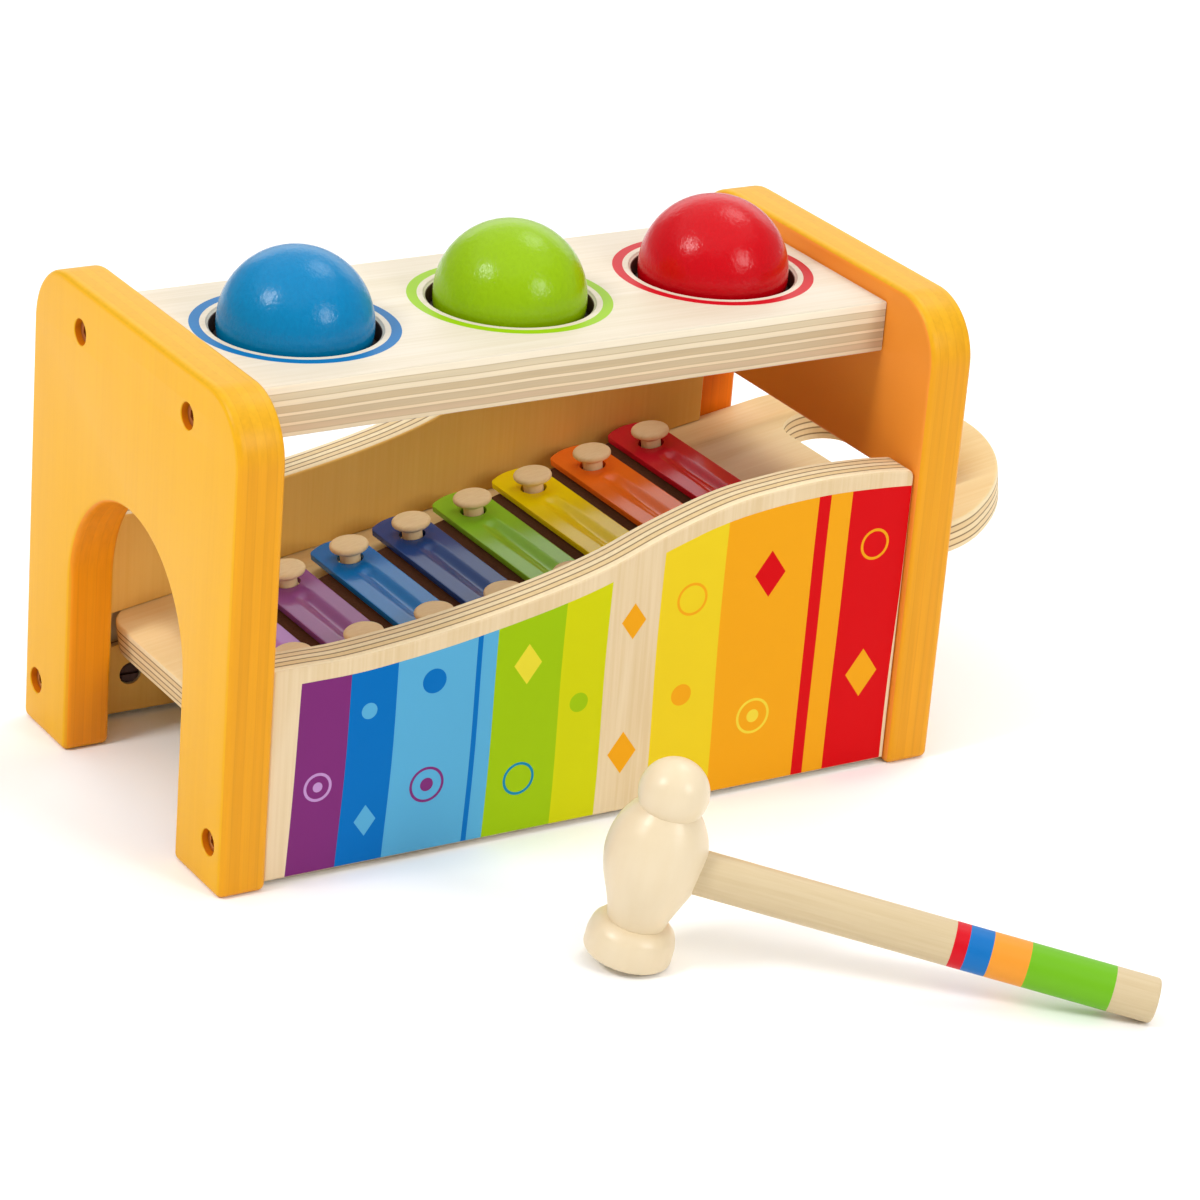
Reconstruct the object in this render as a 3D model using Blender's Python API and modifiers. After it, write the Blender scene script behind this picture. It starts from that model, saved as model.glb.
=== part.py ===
"""Pounding bench with a slide-out xylophone and a loose mallet, in metres, +Z up, resting on z = 0.

The bench runs along X, its low open arch at -X and the xylophone's way out at +X. The mallet stands
before it, at -Y, on the rim of its striking disc and on the end of its handle.
"""

import math

import bmesh
import bpy
from mathutils import Vector

# The frame's origin is under the middle of the box round bench and mallet together.
BENCH_CENTRE_X = -0.02696
BENCH_CENTRE_Y = 0.08726
FIT_GAP = 0.0003
CUT_OVERRUN = 0.004

PANEL_OUTER_X = 0.1267
PANEL_THICKNESS = 0.0155
PANEL_DEPTH = 0.1376
PANEL_HEIGHT = 0.1543
PANEL_CORNER_RADIUS = 0.020
PANEL_EDGE_ROUND = 0.002
FOOT_CORNER_RADIUS = 0.0025
LEG_OPENING_WIDTH = 0.0768
ARCH_APEX_Z = 0.0963
EXIT_SIDE_CLEARANCE = 0.0013
EXIT_TOP_CLEARANCE = 0.006
EXIT_SILL_CLEARANCE = 0.008
EXIT_CORNER_RADIUS = 0.006

WALL_THICKNESS = 0.0125
WALL_OUTER_Y = 0.0665
WALL_BOTTOM_Z = 0.0018
WALL_LOW_Z = 0.0703
WALL_HIGH_Z = 0.1028
WALL_EDGE_ROUND = 0.001
WALL_CORNER_RADIUS = 0.003
# Points of the waved edge: along, of the wall's half length, and up, of its rise from low to high.
WAVE_SHARES = (
    (-0.885, 0.0),
    (-0.769, 0.003),
    (-0.564, 0.069),
    (-0.355, 0.178),
    (-0.144, 0.321),
    (0.026, 0.478),
    (0.190, 0.689),
    (0.388, 0.889),
    (0.545, 0.966),
    (0.705, 1.0),
    (0.868, 0.988),
)
WAVE_END_SHARE = 0.957

TOP_WIDTH = 0.0847
TOP_THICKNESS = 0.0166
TOP_INSET = 0.0058
TOP_EDGE_ROUND = 0.0007
HOLE_SPACING = 0.07365
HOLE_EDGE_ROUND = 0.001
BALL_RADIUS = 0.0237
BALL_CLEARANCE = 0.002
RING_DEPTH = 0.0087
RING_GROOVE_DEPTH = 0.0019
RING_SECTION_RADIUS = 0.0025

SCREW_EDGE_DISTANCE = 0.0064
BOLT_Z = 0.0153
COUNTERBORE_CLEARANCE = 0.0004
COUNTERBORE_DEPTH = 0.0049
FASTENER_HEAD_RADIUS = 0.0037
FASTENER_HEAD_HEIGHT = 0.0028
FASTENER_HEAD_ROUND = 0.0006
FASTENER_SHANK_RADIUS = 0.002
FASTENER_OVERHANG = 0.003
SOCKET_RADIUS = 0.0018
SOCKET_DEPTH = 0.0016
BARREL_NUT_SETBACK = 0.0142
BARREL_NUT_RADIUS = 0.0035
BARREL_NUT_COVER = 0.002
BARREL_NUT_EDGE = 0.0004
BARREL_NUT_SLOT_WIDTH = 0.001
BARREL_NUT_SLOT_DEPTH = 0.001

SLIDE_ANGLE = math.radians(9.47)
SLIDE_END_CLEARANCE = 0.0053
SLIDE_END_Z = 0.0366
SLIDE_LENGTH = 0.2888
GROOVE_DEPTH = 0.0035
SLIDE_THICKNESS = 0.011
SLIDE_EDGE_ROUND = 0.001
SLIDE_LOW_CORNER_RADIUS = 0.012
SLIDE_NOSE_RADIUS = 0.0607
SLIDE_NOSE_CORNER_RADIUS = 0.030
FINGER_SLOT_SETBACK = 0.0402
FINGER_SLOT_WIDTH = 0.0235
FINGER_SLOT_LENGTH = 0.076

KEY_COUNT = 8
KEY_FIRST = 0.0264
KEY_SPACING = 0.0234
KEY_WIDTH = 0.0177
KEY_THICKNESS = 0.002
KEY_TOP = 0.0075
KEY_FIRST_LENGTH = 0.074
KEY_LENGTH_STEP = 0.0047
KEY_END_BULGE = 0.0032
KEY_CORNER_RADIUS = 0.001
KEY_HOLE_CLEARANCE = 0.001
CHANNEL_WIDTH = 0.007
CHANNEL_DEPTH = 0.0012
CHANNEL_ROUND = 0.0011
CHANNEL_END_INSET = 0.0095

PEG_FIRST_Y = 0.0238
PEG_Y_STEP = 0.00187
PEG_RADIUS = 0.00325
PEG_DEPTH = 0.008
PEG_TOP = 0.0132
PEG_HEAD_RADIUS = 0.00625
PEG_HEAD_HEIGHT = 0.0032
PEG_RIM_HEIGHT = 0.0013
PEG_CROWN_HEIGHT = 0.0006
PEG_CROWN_SHARES = (0.74, 0.33)
PEG_COLLAR_RADIUS = 0.0041
PAD_END_INSET = 0.0025
PAD_START_WIDTH = 0.0356
PAD_END_WIDTH = 0.101
PAD_TAPER_LENGTH = 0.1635

MALLET_CENTRE_X = -0.0298
MALLET_CENTRE_Y = -0.1497
MALLET_HEADING = math.radians(-37.1)
HANDLE_RADIUS = 0.00677
HANDLE_REACH = 0.1493
HANDLE_EDGE_ROUND = 0.001
HANDLE_TENON = 0.009
DISC_REACH = 0.0315
DISC_RADIUS = 0.0131
DISC_HEIGHT = 0.0115
DISC_EDGE_ROUND = 0.0015
# Points of the disc's shoulder: out, of the disc's radius, and up, of its height.
SHOULDER_SHARES = ((0.855, 0.870), (0.962, 0.678), (1.0, 0.461))
WAIST_RADIUS = 0.0087
BARREL_RADIUS = 0.0149
# Points of the barrel from the neck down: out, from waist to barrel radius, and up, from waist to neck.
BARREL_SHARES = (
    (0.37, 0.932),
    (0.70, 0.834),
    (0.92, 0.718),
    (1.0, 0.597),
    (0.935, 0.486),
    (0.726, 0.354),
    (0.403, 0.216),
    (0.097, 0.077),
)
NECK_RADIUS = 0.0090
HEAD_BALL_RADIUS = 0.0110
HEAD_BALL_CENTRE = 0.0228

QUARTER_TURN = math.pi / 2
HALF_TURN = math.pi
WHOLE_TURN = math.tau
ARC_STEPS = 4
ARCH_STEPS = 8
CORNER_STEPS = 2
WAVE_STEPS = 3
EDGE_STEPS = 2
ROUND_STEPS = 24
SMALL_ROUND_STEPS = 10
BALL_STEPS = 20
PROFILE_STEPS = 10
RING_PROFILE_STEPS = 8
SOCKET_SIDES = 6
MERGE_DISTANCE = 0.00001
SHARP_ANGLE = math.radians(35)

MATERIALS = {
    "amber_stained_plywood": ((0.95, 0.45, 0.045, 1), 0.38, 0.0),
    "clear_birch_plywood": ((0.86, 0.72, 0.52, 1), 0.42, 0.0),
    "printed_birch_plywood": ((0.30, 0.42, 0.55, 1), 0.40, 0.0),
    "plain_plywood": ((0.72, 0.50, 0.27, 1), 0.48, 0.0),
    "bronzed_steel": ((0.33, 0.17, 0.06, 1), 0.42, 1.0),
    "zinc_plated_steel": ((0.66, 0.66, 0.65, 1), 0.30, 1.0),
    "brown_rubber": ((0.07, 0.04, 0.03, 1), 0.70, 0.0),
    "blue_lacquer": ((0.0, 0.21, 0.58, 1), 0.28, 0.0),
    "green_lacquer": ((0.31, 0.60, 0.01, 1), 0.28, 0.0),
    "red_lacquer": ((0.74, 0.0, 0.01, 1), 0.28, 0.0),
    "dark_felt": ((0.06, 0.035, 0.025, 1), 0.95, 0.0),
    "lilac_enamel": ((0.43, 0.16, 0.53, 1), 0.30, 0.0),
    "purple_enamel": ((0.25, 0.07, 0.29, 1), 0.30, 0.0),
    "blue_enamel": ((0.01, 0.14, 0.39, 1), 0.30, 0.0),
    "navy_enamel": ((0.03, 0.06, 0.22, 1), 0.30, 0.0),
    "green_enamel": ((0.08, 0.35, 0.03, 1), 0.30, 0.0),
    "yellow_enamel": ((0.74, 0.60, 0.0, 1), 0.30, 0.0),
    "orange_enamel": ((0.74, 0.12, 0.01, 1), 0.30, 0.0),
    "crimson_enamel": ((0.39, 0.01, 0.02, 1), 0.30, 0.0),
    "turned_beech": ((0.72, 0.50, 0.23, 1), 0.50, 0.0),
    "lacquered_maple": ((0.90, 0.77, 0.50, 1), 0.30, 0.0),
    "banded_beech": ((0.83, 0.65, 0.38, 1), 0.45, 0.0),
}
KEY_ENAMELS = ("lilac", "purple", "blue", "navy", "green", "yellow", "orange", "crimson")
BALL_LACQUERS = ("blue", "green", "red")
SIDES = {"left": -1, "right": 1}
FACES = {"front": -1, "back": 1}


BENCH_CENTRE = (BENCH_CENTRE_X, BENCH_CENTRE_Y, 0)
INNER_X = PANEL_OUTER_X - PANEL_THICKNESS
INNER_Y = WALL_OUTER_Y - WALL_THICKNESS
TOP_FACE_Z = PANEL_HEIGHT - TOP_INSET
HOLE_RADIUS = BALL_RADIUS + BALL_CLEARANCE
RING_GROOVE_RADIUS = HOLE_RADIUS + RING_GROOVE_DEPTH
RING_CENTRE_RADIUS = RING_GROOVE_RADIUS - FIT_GAP - RING_SECTION_RADIUS
RING_Z = TOP_FACE_Z - RING_DEPTH
BALL_SEAT_RADIUS = BALL_RADIUS + RING_SECTION_RADIUS + FIT_GAP
BALL_CENTRE_Z = RING_Z + math.sqrt(BALL_SEAT_RADIUS**2 - RING_CENTRE_RADIUS**2)
SCREW_Y = TOP_WIDTH / 2 - SCREW_EDGE_DISTANCE
SCREW_Z = TOP_FACE_Z - TOP_THICKNESS / 2
BOLT_Y = WALL_OUTER_Y - WALL_THICKNESS / 2
COUNTERBORE_RADIUS = FASTENER_HEAD_RADIUS + COUNTERBORE_CLEARANCE
PANEL_GRIP = PANEL_THICKNESS - COUNTERBORE_DEPTH
FASTENER_SHANK_LENGTH = PANEL_GRIP + BARREL_NUT_SETBACK + BARREL_NUT_RADIUS + FASTENER_OVERHANG
BARREL_NUT_LENGTH = WALL_THICKNESS - BARREL_NUT_COVER
SLIDE_END_X = SLIDE_END_CLEARANCE - INNER_X
SLIDE_WIDTH = 2 * (INNER_Y + GROOVE_DEPTH - FIT_GAP)
KEY_HOLE_RADIUS = PEG_RADIUS + KEY_HOLE_CLEARANCE


def clear_scene():
    """Removes every object of the startup scene."""
    for old in list(bpy.data.objects):
        bpy.data.objects.remove(old, do_unlink=True)


def new_collection(name, shown):
    """A collection under the scene's own, left out of renders where it isn't shown."""
    made = bpy.data.collections.new(name)
    made.hide_render = not shown
    bpy.context.scene.collection.children.link(made)
    return made


def new_material(name, colour, roughness, metallic):
    """A Principled material of one colour."""
    made = bpy.data.materials.new(name)
    made.use_nodes = True
    shader = made.node_tree.nodes["Principled BSDF"]
    shader.inputs["Base Color"].default_value = colour
    shader.inputs["Roughness"].default_value = roughness
    shader.inputs["Metallic"].default_value = metallic
    return made


def new_anchor(name, location, rotation=(0, 0, 0), parent=None):
    """An empty that holds the pieces of one body in its own axes."""
    made = bpy.data.objects.new(name, None)
    made.location = location
    made.rotation_euler = rotation
    made.parent = parent
    PIECES.objects.link(made)
    return made


def new_piece(name, mesh, material, parent, location=(0, 0, 0), rotation=(0, 0, 0)):
    """One named physical piece with its own copy of the material slot."""
    made = bpy.data.objects.new(name, mesh)
    made.location = location
    made.rotation_euler = rotation
    made.parent = parent
    if not mesh.materials:
        mesh.materials.append(None)
    made.material_slots[0].link = "OBJECT"
    made.material_slots[0].material = bpy.data.materials[material]
    PIECES.objects.link(made)
    return made


def new_cutter(name, mesh, parent, location=(0, 0, 0), rotation=(0, 0, 0)):
    """A helper solid that is only taken away from others."""
    made = bpy.data.objects.new(name, mesh)
    made.location = location
    made.rotation_euler = rotation
    made.parent = parent
    made.hide_render = True
    made.display_type = "WIRE"
    CUTTERS.objects.link(made)
    return made


def cut(piece, cutter):
    """Takes the cutter's shape out of the piece."""
    change = piece.modifiers.new(cutter.name, "BOOLEAN")
    change.operation = "DIFFERENCE"
    change.solver = "EXACT"
    change.object = cutter


def settled_mesh(made):
    """The mesh that a helper object's curve or modifiers make; the helper is removed."""
    bpy.context.view_layer.update()
    graph = bpy.context.evaluated_depsgraph_get()
    mesh = bpy.data.meshes.new_from_object(made.evaluated_get(graph))
    mesh.name = made.name
    sewn = bmesh.new()
    sewn.from_mesh(mesh)
    bmesh.ops.remove_doubles(sewn, verts=sewn.verts, dist=MERGE_DISTANCE)
    bmesh.ops.recalc_face_normals(sewn, faces=sewn.faces)
    sewn.to_mesh(mesh)
    sewn.free()
    mesh.shade_smooth()
    mesh.set_sharp_from_angle(angle=SHARP_ANGLE)
    bpy.data.objects.remove(made, do_unlink=True)
    return mesh


def arc(centre, radius, start, end, steps=ARC_STEPS):
    """Points along a circular arc, both ends included."""
    turns = [start + (end - start) * step / steps for step in range(steps + 1)]
    return [(centre[0] + radius * math.cos(turn), centre[1] + radius * math.sin(turn)) for turn in turns]


def mirrored(points):
    """The points of an outline's right half, turned over to run back up its left half."""
    return [(-x, y) for x, y in reversed(points)]


def stadium(length, width, steps=ARC_STEPS):
    """A slot outline along X with half-round ends."""
    radius = width / 2
    reach = length / 2 - radius
    right = arc((reach, 0), radius, -QUARTER_TURN, QUARTER_TURN, steps)
    left = arc((-reach, 0), radius, QUARTER_TURN, 3 * QUARTER_TURN, steps)
    return right + left


def circle(centre, radius, steps=SMALL_ROUND_STEPS):
    """A closed ring of points."""
    return arc(centre, radius, 0, WHOLE_TURN, steps)[:-1]


def smooth_through(points, steps):
    """A smooth line that passes through every given point."""
    line = []
    for index in range(len(points) - 1):
        before = Vector(points[max(index - 1, 0)])
        start = Vector(points[index])
        end = Vector(points[index + 1])
        after = Vector(points[min(index + 2, len(points) - 1)])
        for step in range(steps):
            t = step / steps
            pull = (end - before) * t + (2 * before - 5 * start + 4 * end - after) * t**2
            pull += (3 * start - before - 3 * end + after) * t**3
            line.append(tuple(start + pull / 2))
    line.append(points[-1])
    return line


def plate_mesh(name, outlines, thickness, edge_round=0.0, edge_steps=1):
    """A flat board in XY, centred on z = 0, from an outer outline and any holes, with rounded edges."""
    drawing = bpy.data.curves.new(name, "CURVE")
    drawing.dimensions = "2D"
    drawing.fill_mode = "BOTH"
    drawing.extrude = thickness / 2 - edge_round
    drawing.bevel_depth = edge_round
    drawing.bevel_resolution = edge_steps - 1
    drawing.offset = -edge_round
    for outline in outlines:
        spline = drawing.splines.new("POLY")
        spline.points.add(len(outline) - 1)
        for point, (x, y) in zip(spline.points, outline):
            point.co = (x, y, 0, 1)
        spline.use_cyclic_u = True
    helper = bpy.data.objects.new(name, drawing)
    PIECES.objects.link(helper)
    return settled_mesh(helper)


def turned_mesh(name, profile, steps=ROUND_STEPS, looped=False):
    """A turned solid about Z from (radius, height) points that run down its outer side."""
    count = len(profile)
    edges = [(i, i + 1) for i in range(count - 1)]
    if looped:
        edges.append((count - 1, 0))
    line = bpy.data.meshes.new(name)
    line.from_pydata([(radius, 0, height) for radius, height in profile], edges, [])
    helper = bpy.data.objects.new(name, line)
    PIECES.objects.link(helper)
    turn = helper.modifiers.new("turn", "SCREW")
    turn.angle = WHOLE_TURN
    turn.steps = steps
    turn.render_steps = steps
    turn.use_merge_vertices = True
    turn.merge_threshold = MERGE_DISTANCE
    return settled_mesh(helper)


def box_mesh(name, size):
    """A block centred on its origin."""
    block = bmesh.new()
    bmesh.ops.create_cube(block, size=1.0)
    bmesh.ops.scale(block, vec=size, verts=block.verts)
    mesh = bpy.data.meshes.new(name)
    block.to_mesh(mesh)
    block.free()
    return mesh


def leg_side():
    """From a leg's inner foot corner round its outer side to the panel's top, on the right half."""
    reach = PANEL_DEPTH / 2
    inner = LEG_OPENING_WIDTH / 2
    foot = FOOT_CORNER_RADIUS
    top = PANEL_CORNER_RADIUS
    points = arc((inner + foot, foot), foot, HALF_TURN, 3 * QUARTER_TURN, CORNER_STEPS)
    points += arc((reach - foot, foot), foot, -QUARTER_TURN, 0, CORNER_STEPS)
    points += arc((reach - top, PANEL_HEIGHT - top), top, 0, QUARTER_TURN, ARCH_STEPS)
    return points


def arch_outline():
    """The left panel: a round-topped arch open at the floor."""
    radius = LEG_OPENING_WIDTH / 2
    half = arc((0, ARCH_APEX_Z - radius), radius, QUARTER_TURN, 0, ARCH_STEPS) + leg_side()
    return half + mirrored(half)[:-1]


def height_over_slide(x, rise):
    """The height over the floor of a point at x on the bench that lies this far above the sliding board."""
    return SLIDE_END_Z + (x - SLIDE_END_X) * math.tan(SLIDE_ANGLE) + rise / math.cos(SLIDE_ANGLE)


def exit_outline():
    """The right panel: a wide window for the xylophone over the gap between its legs."""
    inner = LEG_OPENING_WIDTH / 2
    reach = SLIDE_WIDTH / 2 + EXIT_SIDE_CLEARANCE
    corner = EXIT_CORNER_RADIUS
    top = height_over_slide(PANEL_OUTER_X, PEG_TOP) + EXIT_TOP_CLEARANCE
    sill = height_over_slide(INNER_X, -SLIDE_THICKNESS) - EXIT_SILL_CLEARANCE
    half = arc((reach - corner, top - corner), corner, QUARTER_TURN, 0)
    half += arc((reach - corner, sill + corner), corner, 0, -QUARTER_TURN)
    half += arc((inner + corner, sill - corner), corner, QUARTER_TURN, HALF_TURN)
    half += leg_side()
    return half + mirrored(half)


def build_end_panels(bench):
    """The two upright ends that carry everything else."""
    outlines = {"left": arch_outline(), "right": exit_outline()}
    panels = {}
    for side, sign in SIDES.items():
        name = f"{side}_end_panel"
        mesh = plate_mesh(name, [outlines[side]], PANEL_THICKNESS, PANEL_EDGE_ROUND, EDGE_STEPS)
        place = (sign * (PANEL_OUTER_X - PANEL_THICKNESS / 2), 0, 0)
        turn = (QUARTER_TURN, 0, QUARTER_TURN)
        panels[side] = new_piece(name, mesh, "amber_stained_plywood", bench, place, turn)
    return panels


def wall_outline():
    """The long side board, seen along Y, with its waved top edge."""
    reach = INNER_X - FIT_GAP
    corner = WALL_CORNER_RADIUS
    rise = WALL_HIGH_Z - WALL_LOW_Z
    end_z = WALL_LOW_Z + WAVE_END_SHARE * rise
    wave = [(along * reach, WALL_LOW_Z + up * rise) for along, up in WAVE_SHARES]
    wave.append((reach - corner, end_z))
    points = [(reach, WALL_BOTTOM_Z)]
    points += arc((reach - corner, end_z - corner), corner, 0, QUARTER_TURN, CORNER_STEPS)
    points += reversed(smooth_through(wave, WAVE_STEPS)[:-1])
    points += [(-reach, WALL_LOW_Z), (-reach, WALL_BOTTOM_Z)]
    return points


def groove_mesh():
    """The slot that the xylophone's edges run in, from its stop out through the far end."""
    corner = SLIDE_LOW_CORNER_RADIUS
    inside = INNER_Y - (SLIDE_WIDTH / 2 - corner)
    stop = corner - math.sqrt(corner**2 - inside**2) - FIT_GAP
    size = (SLIDE_LENGTH - stop, 2 * (INNER_Y + GROOVE_DEPTH), SLIDE_THICKNESS + 2 * FIT_GAP)
    mesh = box_mesh("slide_groove_shape", size)
    return mesh, (stop + size[0] / 2, 0, -SLIDE_THICKNESS / 2)


def build_walls(bench, slide):
    """The front and back boards, grooved on their inner faces."""
    mesh, place = groove_mesh()
    groove = new_cutter("slide_groove", mesh, slide, place)
    shape = plate_mesh("wall", [wall_outline()], WALL_THICKNESS, WALL_EDGE_ROUND)
    walls = {}
    for face, sign in FACES.items():
        material = "printed_birch_plywood" if face == "front" else "plain_plywood"
        middle = (0, sign * BOLT_Y, 0)
        walls[face] = new_piece(f"{face}_wall", shape, material, bench, middle, (QUARTER_TURN, 0, 0))
        cut(walls[face], groove)
    return walls


def ball_hole_profile():
    """Down the wall of a ball's hole: eased top edge, ring groove, eased bottom edge."""
    bottom = TOP_FACE_Z - TOP_THICKNESS
    edge = HOLE_EDGE_ROUND
    wide = HOLE_RADIUS + edge
    half = RING_SECTION_RADIUS + FIT_GAP
    points = [(0, TOP_FACE_Z + CUT_OVERRUN), (wide, TOP_FACE_Z + CUT_OVERRUN)]
    points += [(wide, TOP_FACE_Z), (HOLE_RADIUS, TOP_FACE_Z - edge)]
    points += [(HOLE_RADIUS, RING_Z + half), (RING_GROOVE_RADIUS, RING_Z + half)]
    points += [(RING_GROOVE_RADIUS, RING_Z - half), (HOLE_RADIUS, RING_Z - half)]
    points += [(HOLE_RADIUS, bottom + edge), (wide, bottom)]
    points += [(wide, bottom - CUT_OVERRUN), (0, bottom - CUT_OVERRUN)]
    return points


def build_top(bench):
    """The top board, with the three holes that hold the balls."""
    half_length, half_width = INNER_X - FIT_GAP, TOP_WIDTH / 2
    corners = [(-1, -1), (1, -1), (1, 1), (-1, 1)]
    outline = [(x * half_length, y * half_width) for x, y in corners]
    mesh = plate_mesh("top_board", [outline], TOP_THICKNESS, TOP_EDGE_ROUND)
    top = new_piece("top_board", mesh, "clear_birch_plywood", bench, (0, 0, SCREW_Z))
    shape = turned_mesh("ball_hole_shape", ball_hole_profile())
    for index in range(len(BALL_LACQUERS)):
        place = ((index - 1) * HOLE_SPACING, 0, 0)
        cut(top, new_cutter(f"ball_hole_{index + 1}", shape, bench, place))
    return top


def build_rings(bench):
    """The rubber rings in the holes that hold each ball up until it is struck."""
    section = circle((RING_CENTRE_RADIUS, 0), RING_SECTION_RADIUS, RING_PROFILE_STEPS)
    mesh = turned_mesh("rubber_ring", section[::-1], ROUND_STEPS, looped=True)
    for index, colour in enumerate(BALL_LACQUERS):
        place = ((index - 1) * HOLE_SPACING, 0, RING_Z)
        new_piece(f"ring_{colour}", mesh, "brown_rubber", bench, place)


def build_balls(bench):
    """The three balls, each with its origin at its centre."""
    profile = arc((0, 0), BALL_RADIUS, QUARTER_TURN, -QUARTER_TURN, PROFILE_STEPS)
    mesh = turned_mesh("ball", profile, BALL_STEPS)
    for index, colour in enumerate(BALL_LACQUERS):
        place = ((index - 1) * HOLE_SPACING, 0, BALL_CENTRE_Z)
        new_piece(f"ball_{colour}", mesh, f"{colour}_lacquer", bench, place)


def fastener_mesh():
    """A socket-head fastener whose shank runs down from the underside of its head at z = 0."""
    top = FASTENER_HEAD_HEIGHT
    edge = FASTENER_HEAD_ROUND
    tip = -FASTENER_SHANK_LENGTH
    profile = [(0, top), (FASTENER_HEAD_RADIUS - edge, top), (FASTENER_HEAD_RADIUS, top - edge)]
    profile += [(FASTENER_HEAD_RADIUS, 0), (FASTENER_SHANK_RADIUS, 0)]
    profile += [(FASTENER_SHANK_RADIUS, tip), (0, tip)]
    blank = bpy.data.objects.new("fastener", turned_mesh("fastener", profile, SMALL_ROUND_STEPS))
    PIECES.objects.link(blank)
    socket = [(0, CUT_OVERRUN), (SOCKET_RADIUS, CUT_OVERRUN)]
    socket += [(SOCKET_RADIUS, -SOCKET_DEPTH), (0, -SOCKET_DEPTH)]
    shape = turned_mesh("hex_socket", socket, SOCKET_SIDES)
    cutter = new_cutter("hex_socket", shape, None, (0, 0, top))
    cut(blank, cutter)
    mesh = settled_mesh(blank)
    bpy.data.objects.remove(cutter, do_unlink=True)
    return mesh


def bore_mesh():
    """The stepped hole for one fastener, its mouth at z = 0 and its depth along -Z."""
    clear = FASTENER_SHANK_RADIUS + FIT_GAP
    deep = COUNTERBORE_DEPTH + FASTENER_SHANK_LENGTH + 2 * FIT_GAP
    profile = [(0, CUT_OVERRUN), (COUNTERBORE_RADIUS, CUT_OVERRUN), (COUNTERBORE_RADIUS, -COUNTERBORE_DEPTH)]
    profile += [(clear, -COUNTERBORE_DEPTH), (clear, -deep), (0, -deep)]
    return turned_mesh("fastener_bore", profile, SMALL_ROUND_STEPS)


def build_fasteners(bench, panels, walls, top):
    """Screws into the top board, and bolts into the barrel nuts of the walls; returns the bolts' bores."""
    shape, bore_shape = fastener_mesh(), bore_mesh()
    bolt_bores = {}
    for side, sign in SIDES.items():
        turn = (0, sign * QUARTER_TURN, 0)
        seat = sign * (PANEL_OUTER_X - COUNTERBORE_DEPTH + FIT_GAP)
        for face, reach in FACES.items():
            screw_name, bolt_name = f"top_screw_{side}_{face}", f"wall_bolt_{side}_{face}"
            screw_y, bolt_y = reach * SCREW_Y, reach * BOLT_Y
            new_piece(screw_name, shape, "bronzed_steel", bench, (seat, screw_y, SCREW_Z), turn)
            new_piece(bolt_name, shape, "zinc_plated_steel", bench, (seat, bolt_y, BOLT_Z), turn)
            mouth = sign * PANEL_OUTER_X
            screw_bore = new_cutter(f"{screw_name}_bore", bore_shape, bench, (mouth, screw_y, SCREW_Z), turn)
            bolt_bore = new_cutter(f"{bolt_name}_bore", bore_shape, bench, (mouth, bolt_y, BOLT_Z), turn)
            for piece, bore in ((panels[side], screw_bore), (top, screw_bore)):
                cut(piece, bore)
            for piece, bore in ((panels[side], bolt_bore), (walls[face], bolt_bore)):
                cut(piece, bore)
            bolt_bores[side, face] = bolt_bore
    return bolt_bores


def barrel_nut_mesh():
    """A cross-drilled nut along Z, its slotted end at z = 0 and the rest below."""
    radius, edge, long = BARREL_NUT_RADIUS, BARREL_NUT_EDGE, BARREL_NUT_LENGTH
    profile = [(0, 0), (radius - edge, 0), (radius, -edge)]
    profile += [(radius, edge - long), (radius - edge, -long), (0, -long)]
    blank = bpy.data.objects.new("barrel_nut", turned_mesh("barrel_nut", profile, SMALL_ROUND_STEPS))
    PIECES.objects.link(blank)
    slot_size = (2 * radius + CUT_OVERRUN, BARREL_NUT_SLOT_WIDTH, 2 * BARREL_NUT_SLOT_DEPTH)
    cutter = new_cutter("nut_slot", box_mesh("nut_slot", slot_size), None)
    cut(blank, cutter)
    mesh = settled_mesh(blank)
    bpy.data.objects.remove(cutter, do_unlink=True)
    return mesh


def build_barrel_nuts(bench, walls, bolt_bores):
    """The nuts let into the inner faces of the walls, which the bolts screw into."""
    shape = barrel_nut_mesh()
    radius, deep = BARREL_NUT_RADIUS + FIT_GAP, BARREL_NUT_LENGTH + 2 * FIT_GAP
    profile = [(0, CUT_OVERRUN), (radius, CUT_OVERRUN), (radius, -deep), (0, -deep)]
    pocket_shape = turned_mesh("nut_pocket", profile, SMALL_ROUND_STEPS)
    for side, sign in SIDES.items():
        for face, reach in FACES.items():
            name = f"barrel_nut_{side}_{face}"
            turn = (reach * QUARTER_TURN, 0, 0)
            nut_x = sign * (INNER_X - BARREL_NUT_SETBACK)
            place = (nut_x, reach * INNER_Y, BOLT_Z)
            sunk = (nut_x, reach * (INNER_Y + FIT_GAP), BOLT_Z)
            cut(walls[face], new_cutter(f"{name}_pocket", pocket_shape, bench, place, turn))
            nut = new_piece(name, shape, "zinc_plated_steel", bench, sunk, turn)
            cut(nut, bolt_bores[side, face])


def slide_outline():
    """The xylophone board seen from above: low end square with round corners, high end bowed."""
    half = SLIDE_WIDTH / 2
    low, corner, nose = SLIDE_LOW_CORNER_RADIUS, SLIDE_NOSE_CORNER_RADIUS, SLIDE_NOSE_RADIUS
    nose_centre = SLIDE_LENGTH - nose
    rise = half - corner
    corner_x = nose_centre + math.sqrt((nose - corner) ** 2 - rise**2)
    lean = math.atan2(rise, corner_x - nose_centre)
    points = arc((low, -half + low), low, HALF_TURN, 3 * QUARTER_TURN)
    points += arc((corner_x, -rise), corner, -QUARTER_TURN, -lean)
    points += arc((nose_centre, 0), nose, -lean, lean, 2 * ARCH_STEPS)[1:-1]
    points += arc((corner_x, rise), corner, lean, QUARTER_TURN)
    points += arc((low, half - low), low, QUARTER_TURN, HALF_TURN)
    return points


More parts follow.
